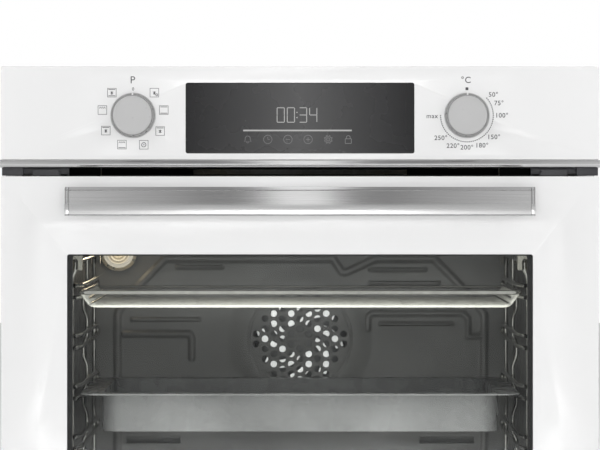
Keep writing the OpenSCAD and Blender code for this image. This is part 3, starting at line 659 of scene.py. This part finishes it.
def make_display():
    """The dark display glass with its lit digits and the bar under them."""
    edge = face_outline(SCREEN_LOW, SCREEN_HIGH, 0, 2 * MM)
    glass = sheet_mesh([edge], SCREEN_LOW.y, SCREEN_HIGH.y, 0.25 * MM)
    piece("display_glass", glass, "chassis", "black_glass", ["display_window"])
    y = SCREEN_LOW.y
    centre_x = (SCREEN_LOW.x + SCREEN_HIGH.x) / 2
    top = PANEL_HIGH.z
    digit_h, digit_w, stroke = 14.4 * MM, 7.2 * MM, 0.75 * MM
    digit_z = top - 48.4 * MM
    segments = {
        "a": ((-0.5, 0.5), (0.5, 0.5)),
        "b": ((0.5, 0.5), (0.5, 0)),
        "c": ((0.5, 0), (0.5, -0.5)),
        "d": ((-0.5, -0.5), (0.5, -0.5)),
        "e": ((-0.5, 0), (-0.5, -0.5)),
        "f": ((-0.5, 0.5), (-0.5, 0)),
        "g": ((-0.5, 0), (0.5, 0)),
    }
    shown = (("abcdef", -1.6), ("abcdef", -0.6), ("abcdg", 0.6), ("bcfg", 1.6))
    lines = []
    for names, column in shown:
        x = centre_x - 3 * MM + column * 10.1 * MM
        for name in names:
            (x0, z0), (x1, z1) = segments[name]
            run = Vector((x1 - x0, z1 - z0)) * 0.03
            start = (x + (x0 + run.x) * digit_w, digit_z + (z0 + run.y) * digit_h)
            lines.append([start, (x + (x1 - run.x) * digit_w, digit_z + (z1 - run.y) * digit_h)])
    marks = [stroke_mesh(lines, stroke, y)]
    colon_x = centre_x - 3 * MM
    marks.append(print_mesh([circle(colon_x, digit_z + s * 2.6 * MM, 0.6 * MM, 16) for s in (-1, 1)], y))
    bar_z = top - 63.8 * MM
    bar = rounded(centre_x - 56.5 * MM, centre_x + 51.5 * MM, bar_z - 0.75 * MM, bar_z + 0.75 * MM, 0.4 * MM)
    marks.append(print_mesh([bar], y))
    piece("display_digits", joined(marks), "chassis", "black_glass", mat="display_light")
    make_touch_keys(centre_x, top - 72.7 * MM, y)


def make_touch_keys(centre_x, z, y):
    """Six generic touch symbols: bell, clock, minus, plus, gear and padlock."""
    pitch, r, w = 20 * MM, 4.2 * MM, 0.45 * MM
    xs = [centre_x - 2 * MM + (i - 2.5) * pitch for i in range(6)]
    bell = xs[0]
    padlock = rounded(xs[5] - r * 0.72, xs[5] + r * 0.72, z - r * 0.95, z + r * 0.15, 0.4 * MM)
    lines = [
        [(bell - r * 0.85, z - r * 0.5), (bell - r * 0.6, z - r * 0.2)]
        + arc(bell, z + r * 0.2, r * 0.6, -90, 90, 14)
        + [(bell + r * 0.6, z - r * 0.2), (bell + r * 0.85, z - r * 0.5), (bell - r * 0.85, z - r * 0.5)],
        arc(bell, z - r * 0.55, r * 0.28, 90, 270, 8),
        arc(xs[1], z, r, 0, 360, 32),
        [(xs[1], z + r * 0.6), (xs[1], z), (xs[1] + r * 0.45, z)],
        arc(xs[2], z, r, 0, 360, 32),
        [(xs[2] - r * 0.5, z), (xs[2] + r * 0.5, z)],
        arc(xs[3], z, r, 0, 360, 32),
        [(xs[3] - r * 0.5, z), (xs[3] + r * 0.5, z)],
        [(xs[3], z - r * 0.5), (xs[3], z + r * 0.5)],
        arc(xs[4], z, r * 0.38, 0, 360, 20),
        gear_line(xs[4], z, r * 0.72, r * 1.0, 8),
        padlock + padlock[:1],
        [(xs[5] - r * 0.45, z + r * 0.15)]
        + arc(xs[5], z + r * 0.45, r * 0.45, -90, 90, 12)
        + [(xs[5] + r * 0.45, z + r * 0.15)],
    ]
    piece("touch_symbols", stroke_mesh(lines, w, y), "chassis", "black_glass", mat="touch_print")


def gear_line(x, z, inner, outer, teeth):
    """A gear's outline as a closed line."""
    points = []
    for i in range(teeth):
        for share, radius in ((0.0, inner), (0.28, inner), (0.36, outer), (0.64, outer), (0.72, inner)):
            points.append(around(x, z, radius, (i + share) * math.tau / teeth))
    return points + [points[0]]


def make_knob(name, node, centre, body):
    """A turned knob: a flat light face on a cone, over a skirt with a light rim and a pointer tick. The
    skirt's darker grey is painted shade for the knob's sloping side.
    """
    low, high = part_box(node)
    r = (high.x - low.x) / 2
    front, base = low.y, FRONT_Y - 0.6 * MM
    face_r = r * 0.862
    face = [(0, front + 0.3 * MM), (face_r - 1.5 * MM, front + 0.3 * MM), (face_r - 1.1 * MM, front)]
    face += soft_corner(face_r - 0.8 * MM, front + 0.8 * MM, 0.8 * MM, -90, -10)
    face += [(face_r, front + 2.0 * MM), (face_r - 0.8 * MM, front + 2.4 * MM)]
    face += [(face_r - 0.8 * MM, base - 6 * MM)]
    face += [(3.0 * MM, base - 6 * MM), (3.0 * MM, high.y - 0.4 * MM), (2.6 * MM, high.y), (0, high.y)]
    piece(name, lathe_mesh(face, centre, 128), body, "knob_metal", [node], 28)
    skirt = [(face_r - 0.7 * MM, front + 3.4 * MM), (face_r + 0.5 * MM, front + 3.0 * MM)]
    skirt += [(r - 0.9 * MM, base - 3.4 * MM), (r - 0.9 * MM, base - 0.3 * MM)]
    skirt += [(face_r - 0.7 * MM, base - 0.3 * MM), skirt[0]]
    mesh = lathe_mesh(skirt, centre, 128)
    # painted shade: the skirt wears a darker grey than the knob's face, for the shade on its sloping side
    piece(name + "_skirt", mesh, body, "knob_metal", smooth=28, mat="knob_skirt")
    rim = soft_corner(r - 0.55 * MM, base - 3.2 * MM, 0.55 * MM, -180, 0, 8)
    rim += [(r, base), (r - 1.1 * MM, base), rim[0]]
    piece(name + "_rim", lathe_mesh(rim, centre, 128), body, "knob_metal")
    x, z = centre.x, centre.z
    tick = rounded(x - 0.7 * MM, x + 0.7 * MM, z + face_r + 0.6 * MM, z + r - 0.1 * MM, 0.5 * MM)
    mesh = sheet_mesh([tick], front + 3.4 * MM, base - 3 * MM, 0.1 * MM)
    piece(name + "_pointer", mesh, body, "knob_metal", mat="white_panel")


def square_symbol(x, z, size, content):
    """A small function symbol: a square frame with heat lines and a fan, as listed in content."""
    h = size / 2
    lines = [[(x - h, z - h), (x + h, z - h), (x + h, z + h), (x - h, z + h), (x - h, z - h)]]
    if "top" in content:
        lines.append([(x - h * 0.8, z + h * 0.72), (x + h * 0.8, z + h * 0.72)])
    if "grill" in content:
        wave = [(x - h * 0.7 + i * h * 0.233, z + h * (0.7 if i % 2 else 0.38)) for i in range(7)]
        lines.append(wave)
    if "bottom" in content:
        lines.append([(x - h * 0.8, z - h * 0.72), (x + h * 0.8, z - h * 0.72)])
    if "fan" in content:
        for turn in (45, 90, 135):
            c, d = 0.42 * h * math.cos(math.radians(turn)), 0.42 * h * math.sin(math.radians(turn))
            lines.append([(x - c, z - 0.08 * h - d), (x + c, z - 0.08 * h + d)])
    if "ring" in content:
        lines.append(arc(x, z, h * 0.5, 0, 360, 16))
        lines.append([(x - h * 0.2, z), (x + h * 0.2, z)])
    if "drop" in content:
        lines.append(arc(x + h * 0.55, z - h * 0.5, h * 0.24, 0, 360, 10))
    return lines


def make_legends():
    """Generic symbols round the function dial and temperatures round the other."""
    y = FRONT_Y
    x, z = KNOB_LEFT.x, KNOB_LEFT.z
    ring = 31.0 * MM
    contents = {
        43: ("fan", "drop"),
        80: ("top", "bottom"),
        120: ("top", "fan"),
        160: ("ring",),
        201: ("grill", "bottom"),
        241: ("top", "fan"),
        280: ("grill",),
        317: ("top", "fan", "bottom"),
    }
    lines = []
    for turn, content in contents.items():
        lines += square_symbol(*around(x, z, ring, math.radians(turn)), 8.6 * MM, content)
    meshes = [stroke_mesh(lines, 0.66 * MM, y)]
    meshes.append(text_mesh("P", x - 0.5 * MM, z + 35.0 * MM, 10.2 * MM, y, 0))
    meshes.append(text_mesh("0", x, z + 26.2 * MM, 4.4 * MM, y))
    x, z = KNOB_RIGHT.x, KNOB_RIGHT.z
    spots = [around(x, z, 26.2 * MM, math.radians(49 + i * 4.5)) for i in range(50)]
    dots = [circle(*spot, 0.66 * MM, 10) for spot in spots]
    dots.append(rounded(x - 1.4 * MM, x + 1.4 * MM, z + 25.2 * MM, z + 28 * MM, 0.2 * MM))
    meshes.append(print_mesh(dots, y))
    labels = {"50°": 51, "75°": 68, "100°": 89, "150°": 128, "180°": 153}
    labels |= {"200°": 180, "220°": 205, "250°": 230, "max": 270}
    for text, turn in labels.items():
        a = math.radians(turn)
        text_x, text_z = around(x, z, (31.2 + 3.4 * abs(math.sin(a))) * MM, a)
        meshes.append(text_mesh(text, text_x, text_z - 0.7 * MM, 6.4 * MM, y))
    meshes.append(text_mesh("°C", x - 1.0 * MM, z + 35.0 * MM, 8.8 * MM, y))
    piece("dial_legends", joined(meshes), "chassis", "white_panel", mat="grey_print")


def make_outlet_black_shade_plates():
    """Near-black plates on both sides of the air duct's mouth, behind the gap over the door: partly the
    outlet's own black deflector, partly a dark sheet put there as painted shade for the depth of the gap.
    """
    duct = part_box("air_duct")[1]
    frame_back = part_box("front_frame")[1].y
    low_z, high_z = DOOR_HIGH.z - 1 * MM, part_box("fascia_bracket")[0].z
    sheets = []
    for side in (-1, 1):
        ends = sorted((side * (duct.x + 0.6 * MM), side * (duct.x + 62 * MM)))
        outline = rounded(ends[0], ends[1], low_z, high_z - 0.3 * MM, 1 * MM)
        sheets.append(sheet_mesh([outline], frame_back + 0.4 * MM, frame_back + 1.2 * MM, 0.2 * MM))
    piece("outlet_black_shade_plates", joined(sheets), "chassis", "motor_steel", mat="outlet_black")


# ---------------------------------------------------------------- door


def make_door_front():
    """The door's white front with its window."""
    edge = face_outline(DOOR_LOW, DOOR_HIGH, 0, 1.2 * MM)
    hole = face_outline(WINDOW_LOW, WINDOW_HIGH, 0, 2.2 * MM)
    mesh = sheet_mesh([edge, hole], DOOR_LOW.y, DOOR_HIGH.y, 0.6 * MM)
    piece("door_panel", mesh, "door", "white_panel", ["door_front_panel"])
    glass = face_outline(WINDOW_LOW, WINDOW_HIGH, 0.2 * MM, 2 * MM)
    mesh = sheet_mesh([glass], WINDOW_LOW.y, WINDOW_HIGH.y, 0.2 * MM)
    piece("door_window_pane", mesh, "door", "window_glass", ["door_window"])


def handle_section():
    """The bar's section: a bevelled band along the top, a flat face between two fine grooves, a flat back."""
    low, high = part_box("handle_bar")
    back = high.y
    return (
        (low.y + 2.8 * MM, high.z),
        (low.y + 0.5 * MM, high.z - 2.7 * MM),
        (low.y + 1.5 * MM, high.z - 3.2 * MM),
        (low.y, high.z - 3.9 * MM),
        (low.y, low.z + 1.5 * MM),
        (low.y + 1.3 * MM, low.z + 1.0 * MM),
        (low.y + 0.6 * MM, low.z + 0.4 * MM),
        (low.y + 1.1 * MM, low.z),
        (back - 1 * MM, low.z),
        (back, low.z + 1 * MM),
        (back, high.z - 1 * MM),
        (back - 1 * MM, high.z),
    )


def make_handle():
    """The handle: a bar with end caps on two posts."""
    low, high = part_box("handle_bar")
    cap_low, cap_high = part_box("handle_end_caps")
    section = handle_section()
    bar = extruded_x(section, low.x, high.x, 0.2 * MM)
    piece("handle_grip_bar", bar, "door", "handle_steel", ["handle_bar"], 24)
    caps = [
        extruded_x(section, cap_low.x, low.x - 0.2 * MM, 0.35 * MM),
        extruded_x(section, high.x + 0.2 * MM, cap_high.x, 0.35 * MM),
    ]
    piece("handle_caps", joined(caps), "door", "handle_steel", ["handle_end_caps"], 24)
    post_low, post_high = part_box("handle_posts")
    width = 22 * MM
    posts = []
    for x0 in (post_low.x, post_high.x - width):
        outline = rounded(x0, x0 + width, post_low.z, post_high.z, 3 * MM)
        posts.append(sheet_mesh([outline], post_low.y, post_high.y, 0.5 * MM))
        x1, lip = x0 + width, 0.4 * MM
        foot = rounded(x0 + lip, x1 - lip, post_low.z + lip, post_high.z - lip, 3 * MM)
        posts.append(sheet_mesh([foot], post_high.y - 2 * MM, post_high.y, 0.2 * MM))
    piece("handle_supports", joined(posts), "door", "handle_steel", ["handle_posts"])


# ---------------------------------------------------------------- cavity


LINE_REACH = 8  # millimetres from a pressed line within which it shapes the panel


def distance_to(p, a, b):
    """The distance from p to the line from a to b."""
    d = b - a
    t = max(0.0, min(1.0, (p - a).dot(d) / max(d.length_squared, 1e-12)))
    return (p - a - d * t).length


def smooth_step(value, low, high):
    """0 at low, 1 at high, eased at both ends."""
    t = max(0.0, min(1.0, (value - low) / (high - low)))
    return t * t * (3 - 2 * t)


def pressing_lines():
    """The back panel's pressed lines in millimetres: points (x, z) and half widths."""
    border = [(-204, 130), (-204, 333), (-195, 350), (-151, 395), (37, 395), (47, 380), (52, 380), (85, 395)]
    border += [(150, 395), (194, 350), (206, 333), (206, 130), (-204, 130)]
    return (
        (border, 4.0),
        ([(-137, 386), (-87, 386)], 2.0),
        ([(-187, 327), (-114, 327)], 2.5),
        ([(-198, 311), (-124, 311), (-121, 306), (-121, 284)], 3.5),
        ([(79, 383), (140, 383)], 2.0),
        ([(78, 368), (155, 368)], 2.0),
        ([(76, 316), (76, 330), (80, 334), (182, 334), (188, 328), (188, 308), (202, 308)], 3.0),
        ([(90, 322), (170, 322)], 2.0),
    )


def panel_rise(p, near, dome):
    """How far the panel stands out at p (millimetres), from 0 to 1, with dome its distance to the fan."""
    rise = 1 - smooth_step(dome, 60 * MM, 84 * MM)
    for a, b, half in near:
        if min(a.x, b.x) - LINE_REACH < p.x < max(a.x, b.x) + LINE_REACH:
            rise = max(rise, 1 - smooth_step(distance_to(p, a, b), 0.5 * half, half + 0.6))
    return rise


def grid_mesh(low, high, fan, lamp, face_y):
    """The back panel as a fine grid with its pressings, open at the fan cover, the lamp and the slots."""
    lines = []
    for points, half in pressing_lines():
        vectors = [Vector(p) for p in points]
        lines += [(a, b, half) for a, b in zip(vectors, vectors[1:])]
    step = 1.5 * MM
    count_x = round((high.x - low.x) / step)
    count_z = round((high.z - low.z) / step)
    bm = bmesh.new()
    grid = {}
    for j in range(count_z + 1):
        z = low.z + (high.z - low.z) * j / count_z
        near = []
        for a, b, half in lines:
            if min(a.y, b.y) - LINE_REACH < z / MM < max(a.y, b.y) + LINE_REACH:
                near.append((a, b, half))
        for i in range(count_x + 1):
            x = low.x + (high.x - low.x) * i / count_x
            rise = panel_rise(Vector((x / MM, z / MM)), near, (Vector((x, z)) - fan).length)
            grid[i, j] = bm.verts.new((x, face_y - rise * (face_y - low.y), z))
    corner = 14 * MM
    for j in range(count_z):
        for i in range(count_x):
            x = low.x + (high.x - low.x) * (i + 0.5) / count_x
            z = low.z + (high.z - low.z) * (j + 0.5) / count_z
            at_fan = (Vector((x, z)) - fan).length < 58 * MM
            at_lamp = (Vector((x, z)) - lamp).length < 16 * MM
            in_slot = abs(abs(x) - 165 * MM) < 30 * MM and slot_here(z)
            past_x = max(abs(x) - (high.x - corner), 0)
            past_z = max(z - (high.z - corner), (low.z + corner) - z, 0)
            if not (at_fan or at_lamp or in_slot or math.hypot(past_x, past_z) > corner):
                bm.faces.new((grid[i, j], grid[i + 1, j], grid[i + 1, j + 1], grid[i, j + 1]))
    bmesh.ops.delete(bm, geom=[v for v in bm.verts if not v.link_faces], context="VERTS")
    return finished(bm, "back")


def grille_mesh(fan, front):
    """The round fan cover: a perforated disc inside a groove and a flush rim."""
    holes = []
    pitch = 11.3 * MM
    for i in range(-5, 6):
        for j in range(-6, 7):
            x = i * pitch * math.cos(math.radians(30))
            z = (j + (0.5 if i % 2 else 0)) * pitch
            if 6 * MM < math.hypot(x, z) < 50 * MM:
                holes.append(circle(fan.x + x, fan.y + z, 3.65 * MM, 24))
    cover_r, groove = 55.4 * MM, 1.3 * MM
    bands = (cover_r, 60.5 * MM, cover_r + groove, cover_r + 3 * groove, cover_r - groove)
    cover, rim_outer, rim_inner, floor_outer, floor_inner = [circle(fan.x, fan.y, r, 128) for r in bands]
    disc = sheet_mesh([cover, *holes], front, front + 1.5 * MM, 0.4 * MM)
    rim = sheet_mesh([rim_outer, rim_inner], front + 0.05 * MM, front + 1.5 * MM, 0.3 * MM)
    groove_floor = sheet_mesh([floor_outer, floor_inner], front + 1.3 * MM, front + 1.9 * MM, 0.1 * MM)
    return joined([disc, rim, groove_floor])


def make_back_panel():
    """The enamelled back of the cavity: soft pressed lines, side slots, and a perforated fan cover."""
    low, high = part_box("back_panel")
    fan, lamp = [(sum(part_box(node), Vector()) / 2).xz for node in ("convection_fan", "lamp_cover")]
    mesh = grid_mesh(low, high, fan, lamp, high.y - 1.5 * MM)
    grille = grille_mesh(fan, low.y)
    panel = piece("cavity_back", mesh, "chassis", "grey_enamel", ["back_panel"], 60)
    thick = panel.modifiers.new("thickness", "SOLIDIFY")
    thick.thickness = 1.4 * MM
    thick.offset = -1
    piece("fan_grille", grille, "chassis", "grey_enamel")


def slot_here(z):
    """Whether z lies in one of the five rows of air slots."""
    return any(abs(z - (150 + row * 14) * MM) < 2.5 * MM for row in range(5))


def make_lamp():
    """The lamp cover: a bright ring and a pressed glass lens with concentric rings."""
    low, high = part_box("lamp_cover")
    centre = (low + high) / 2
    r = (high.x - low.x) / 2
    back = high.y
    ring = [(r, back - 15 * MM), (r, low.y + 6 * MM)]
    ring += soft_corner(r - 1.2 * MM, low.y + 6 * MM, 1.2 * MM, 0, -90)
    ring += [(r - 3.0 * MM, low.y + 4.9 * MM), (r - 3.6 * MM, low.y + 6 * MM), (r - 3.6 * MM, back - 15 * MM)]
    ring += [ring[0]]
    piece("lamp_ring", lathe_mesh(ring, centre), "chassis", "lamp_glass", ["lamp_cover"], 35, mat="lamp_rim")
    lens_r = r - 3.7 * MM
    profile = [(0, low.y + 0.6 * MM)]
    for i in range(1, 33):
        share = i / 33
        ripple = 0.35 * MM * math.sin(share * 31)
        profile.append((lens_r * share, low.y + 0.6 * MM + 3.6 * MM * share**3 + ripple))
    profile += [(lens_r, low.y + 5.5 * MM), (lens_r, back), (lens_r - 2 * MM, back)]
    profile += [(lens_r - 2 * MM, low.y + 8 * MM), (0, low.y + 3.0 * MM)]
    piece("lamp_lens", lathe_mesh(profile, centre), "chassis", "lamp_glass", smooth=50)


# ---------------------------------------------------------------- racks, shelf and fan

LEVEL_PITCH = 51 * MM
RAIL_GAP = 12.1 * MM
FOOT = 22 * MM  # from the foot of a rack up to its lowest rail
WIRE_R = 2.3 * MM


def make_side_rack(name, node, side):
    """Bent-wire rack: a round-cornered frame, a swung middle wire, and rail pairs that flare at the front."""
    low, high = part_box(node)
    inner = (high.x if side < 0 else low.x) + side * WIRE_R
    outer = inner + side * 4 * MM
    clear = outer + side * 4 * MM
    front, rear = low.y + 4 * MM, high.y - 4 * MM
    middle = front + 0.6 * (rear - front)
    foot, top = low.z + WIRE_R + 0.25 * MM, high.z - WIRE_R - 0.25 * MM
    levels = [foot + FOOT + i * LEVEL_PITCH for i in range(5)]
    frame_path = [(outer, middle, foot), (outer, rear, foot), (outer, rear, top), (outer, front, top)]
    frame_path += [(outer, front, top - 8 * MM), (clear, front, top - 16 * MM)]
    frame_path += [(clear, front, foot + 16 * MM), (outer, front, foot + 8 * MM)]
    frame_path += [(outer, front, foot), (outer, middle, foot)]
    swing = [(outer, middle, foot)]
    for z in levels[:-1]:
        swing += [(outer, middle, z + 25 * MM), (clear, middle, z + 33 * MM)]
        swing += [(clear, middle, z + 47 * MM), (outer, middle, z + 54 * MM)]
    swing.append((outer, middle, top))
    rails = []
    flare, bend_y = outer + side * 0.5 * MM, low.y + 34 * MM
    for z in levels:
        lower = [(flare, low.y, z), (inner, bend_y, z), (inner, rear, z)]
        upper = [(inner, rear, z + RAIL_GAP), (inner, bend_y, z + RAIL_GAP), (flare, low.y, z + RAIL_GAP)]
        rails.append(lower + upper)
    meshes = [wire_mesh([frame_path], WIRE_R, 5 * MM), wire_mesh([swing], 0.8 * WIRE_R, 9 * MM)]
    meshes.append(wire_mesh(rails, WIRE_R))
    piece(name, joined(meshes), "chassis", "chrome_wire", [node], 50)


def make_shelf():
    """The wire shelf: a bent frame, a thin back bar, and a sunk grid of cross wires on two stiffeners."""
    low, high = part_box("wire_shelf")
    body = "wire_shelf"
    side = high.x - 0.25 * MM - WIRE_R
    front = low.y + 0.25 * MM + WIRE_R
    back = high.y - 0.25 * MM - WIRE_R
    top = high.z - 0.25 * MM - WIRE_R
    sunk = top - 14 * MM
    cross_r, reach = 1.5 * MM, 212 * MM
    frame_path = [(-side, back, top), (-side, front, top), (side, front, top), (side, back, top)]
    bar_z = top - 1.9 * MM
    bar = [(2 * MM - side, back, bar_z), (side - 2 * MM, back, bar_z)]
    mesh = joined([wire_mesh([frame_path], WIRE_R, 7 * MM), wire_mesh([bar], 1.6 * MM)])
    piece("shelf_frame", mesh, body, "chrome_wire", ["wire_shelf"], 50)
    crosses = []
    y = front + 8 * MM
    while y < back - 6 * MM:
        crosses.append([(-side, y, top), (-reach, y, sunk), (reach, y, sunk), (side, y, top)])
        y += 12 * MM
    braces = [[(x, front + 9 * MM, sunk), (x, back - 8 * MM, sunk)] for x in (-reach / 2, reach / 2)]
    runners = []
    for end in (-1, 1):
        for x, z in ((side - 7.6 * MM, top - 6 * MM), (side - 10.2 * MM, top - 11.6 * MM)):
            runners.append([(end * x, front + 3 * MM, z), (end * x, back - 4 * MM, z)])
    mesh = joined([wire_mesh(crosses, cross_r, 5 * MM), wire_mesh(braces, 1.4 * MM)])
    # painted reflection: the cross wires wear a diffuse warm grey in place of the shelf's chrome, for the
    # bright front and warm lamp that the chrome mirrors
    piece("shelf_grid", mesh, body, "chrome_wire", smooth=50, mat="satin_wire")
    piece("shelf_runners", wire_mesh(runners, 1.3 * MM), body, "chrome_wire", smooth=50)


def blade_line(centre, start, r0, r1, sweep, steps=10):
    """A curved blade seen from the front, from the hub outwards."""
    points = []
    for i in range(steps + 1):
        share = i / steps
        r = r0 + (r1 - r0) * share
        a = start + sweep * share**1.2
        points.append(Vector(around(centre.x, centre.z, r, a)))
    return points


def ribbon(points, left, right):
    """The outline of a band along a line, reaching left and right of it."""
    sides = []
    for i, p in enumerate(points):
        run = points[min(i + 1, len(points) - 1)] - points[max(i - 1, 0)]
        across = Vector((-run.y, run.x)).normalized()
        sides.append((p + across * left, p - across * right))
    return [tuple(a) for a, b in sides] + [tuple(b) for a, b in reversed(sides)]


def make_fan():
    """The hot-air fan: a disc with curved blades whose turned-over front lips catch the light. The fan's one
    steel is split in two: the disc wears near black as painted shade for the dim chamber, the blades a pale
    grey as painted light on the lit lips.
    """
    low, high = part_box("convection_fan")
    centre = (low + high) / 2
    r = (high.x - low.x) / 2
    lip_y = low.y + 0.1 * MM
    disc_y, shaft_r = lip_y + 14.2 * MM, 3.9 * MM
    lips, walls = [], []
    for i in range(8):
        line = blade_line(centre, i * math.tau / 8, 0.36 * r, 0.98 * r, 0.95)
        lips.append(ribbon(line, 0.3 * MM, 8.4 * MM))
        walls.append(ribbon(line, 0.6 * MM, 0.6 * MM))
    body = "convection_fan"
    mesh = joined([sheet_mesh([lip], lip_y, lip_y + 1.2 * MM, 0.3 * MM) for lip in lips])
    # painted light: the blades wear a pale grey in place of the fan's steel
    piece("fan_blade_lips", mesh, body, "fan_steel", ["convection_fan"], mat="fan_blade")
    mesh = joined([sheet_mesh([wall], lip_y + 0.6 * MM, disc_y, 0.1 * MM) for wall in walls])
    piece("fan_blade_walls", mesh, body, "fan_steel", mat="fan_blade")
    disc = [(0, disc_y), (0.2 * r, disc_y - 1 * MM), (0.3 * r, disc_y - 0.6 * MM), (0.4 * r, disc_y)]
    disc += [(0.96 * r, disc_y), (r, disc_y + 0.8 * MM), (0.96 * r, disc_y + 1.4 * MM)]
    disc += [(shaft_r, disc_y + 1.4 * MM), (shaft_r, high.y), (0, high.y)]
    # painted shade: the disc wears near black in place of the fan's steel, for the dim chamber behind the
    # blades
    piece("fan_disc", lathe_mesh(disc, centre), body, "fan_steel", mat="fan_disc")
    nut = [(0, disc_y - 6 * MM), (3.6 * MM, disc_y - 6 * MM), (4.2 * MM, disc_y - 5.4 * MM)]
    nut += [(4.2 * MM, disc_y), (0, disc_y)]
    piece("fan_nut", lathe_mesh(nut, centre, 6), body, "fan_steel", mat="hinge_steel")


# ---------------------------------------------------------------- light, floor and camera


def make_stage():
    """A plain pale floor, open on all sides so that the oven can be seen from behind."""
    span = 9.0
    bm = bmesh.new()
    corners = ((-span, -span), (span, -span), (span, span), (-span, span))
    bm.faces.new([bm.verts.new((x, y, 0)) for x, y in corners])
    mesh = finished(bm, "stage")
    obj = linked("stage", mesh)
    r = Recipe("stage_paper")
    r.colour(r.mix(r.remap(r.noise(2)), (0.86, 0.86, 0.86), (0.88, 0.88, 0.88)))
    r.rough(r.remap(r.noise(40), 0.7, 0.85))
    mesh.materials.append(r.mat)
    mesh.shade_smooth()


def area_light(name, place, target, size, power):
    """A rectangular light at place that faces target."""
    data = bpy.data.lights.new(name, "AREA")
    data.shape = "RECTANGLE"
    data.size, data.size_y = size
    data.energy = power
    obj = linked(name, data)
    obj.location = place
    obj.rotation_euler = (Vector(target) - Vector(place)).to_track_quat("-Z", "Y").to_euler()
    return obj


def make_world():
    """A pale room with a bright middle strip behind the camera and darker flanks, for the metal to mirror."""
    world = bpy.data.worlds.new("studio")
    bpy.context.scene.world = world
    world.use_nodes = True
    tree = world.node_tree
    sky = tree.nodes["Background"]
    coords = tree.nodes.new("ShaderNodeTexCoord")
    split = tree.nodes.new("ShaderNodeSeparateXYZ")
    tree.links.new(coords.outputs["Generated"], split.inputs[0])
    side = tree.nodes.new("ShaderNodeMath")
    side.operation = "ABSOLUTE"
    tree.links.new(split.outputs["X"], side.inputs[0])
    ramp = tree.nodes.new("ShaderNodeValToRGB")
    ramp.color_ramp.interpolation = "B_SPLINE"
    stops = ((0.0, 1.45), (0.03, 1.05), (0.06, 0.46), (0.09, 0.26), (0.18, 0.28), (0.45, 0.85), (1.0, 0.9))
    set_stops(ramp, [(place, (value,) * 3) for place, value in stops])
    tree.links.new(side.outputs[0], ramp.inputs["Fac"])
    rays = tree.nodes.new("ShaderNodeLightPath")
    seen = tree.nodes.new("ShaderNodeMix")
    seen.data_type = "RGBA"
    tree.links.new(rays.outputs["Is Camera Ray"], seen.inputs[0])
    tree.links.new(ramp.outputs["Color"], seen.inputs[6])
    seen.inputs[7].default_value = (1.0, 1.0, 1.0, 1)
    tree.links.new(seen.outputs[2], sky.inputs["Color"])
    sky.inputs["Strength"].default_value = 1.0


def make_light():
    """Soft studio light, and the oven's own light in the cavity, at the fan and at the lamp."""
    make_world()
    key = area_light("key", (-1.6, -3.2, 2.6), (0, 0, 0.35), (1.6, 1.6), 12)
    fill = area_light("fill", (2.2, -2.6, 1.6), (0, 0, 0.3), (1.4, 1.8), 9)
    front = area_light("front", (0, -3.3, 0.5), (0, 0, 0.4), (1.2, 1.0), 27)
    for light in (key, fill, front):
        light.visible_glossy = False
    area_light("back", (1.2, 3.0, 2.6), (0, 0, 0.4), (1.6, 1.2), 24)
    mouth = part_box("front_frame")[1].y + 3 * MM
    liner_low, liner_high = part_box("cavity_liner")
    middle = (liner_low.z + liner_high.z) / 2
    front_glow = area_light("cavity_light", (0, mouth, middle), (0, 1, middle), (0.46, 0.34), 5.0)
    ceiling = liner_high.z - 10 * MM
    roof_glow = area_light("roof_light", (0, -0.13, ceiling), (0, -0.13, 0), (0.40, 0.12), 0.05)
    for light in (front_glow, roof_glow):
        light.visible_glossy = False
    glint_y = mouth + 2 * MM
    glint = area_light("wire_glint", (0, glint_y, middle), (0, 1, middle), (0.46, 0.34), 0.45)
    glint.visible_diffuse = False
    fan = sum(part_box("convection_fan"), Vector()) / 2
    behind_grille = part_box("back_panel")[0].y + 3 * MM
    area_light("fan_light", (fan.x, behind_grille, fan.z), (fan.x, 1, fan.z), (0.09, 0.09), 0.017)
    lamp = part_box("lamp_cover")
    glow = bpy.data.lights.new("lamp_glow", "POINT")
    glow.energy = 0.05
    glow.color = (1.0, 0.82, 0.58)
    glow.shadow_soft_size = 0.012
    linked("lamp_glow", glow).location = (lamp[0] + lamp[1]) / 2 + Vector((0, -22 * MM, 0))


def make_camera():
    """Straight in front of the door, far away, level, with its axis below the middle of the panel."""
    distance, eye = 3.6, 0.472
    width_seen = 0.5964
    data = bpy.data.cameras.new("camera")
    data.sensor_width = 36
    data.lens = data.sensor_width * distance / width_seen
    data.shift_y = -0.0583
    data.clip_start, data.clip_end = 0.1, 60
    cam = linked("camera", data)
    cam.location = (0, FRONT_Y - distance, eye)
    cam.rotation_euler = (math.pi / 2, 0, 0)
    bpy.context.scene.camera = cam
    bpy.context.scene.view_settings.view_transform = "Standard"


make_camera()
make_stage()
make_light()
make_fascia()
make_strip()
make_display()
make_knob("function_dial", "function_knob", KNOB_LEFT, "function_knob")
make_knob("temperature_dial", "temperature_knob", KNOB_RIGHT, "temperature_knob")
make_legends()
make_outlet_black_shade_plates()
make_door_front()
make_handle()
make_back_panel()
make_lamp()
make_side_rack("rack_left", "side_rack_left", -1)
make_side_rack("rack_right", "side_rack_right", 1)
make_shelf()
make_fan()
for node in ("front_frame", "outlet_trim", "door_top_profile", "door_side_profiles", "door_bottom_profile"):
    soften(node, 0.3 * MM)
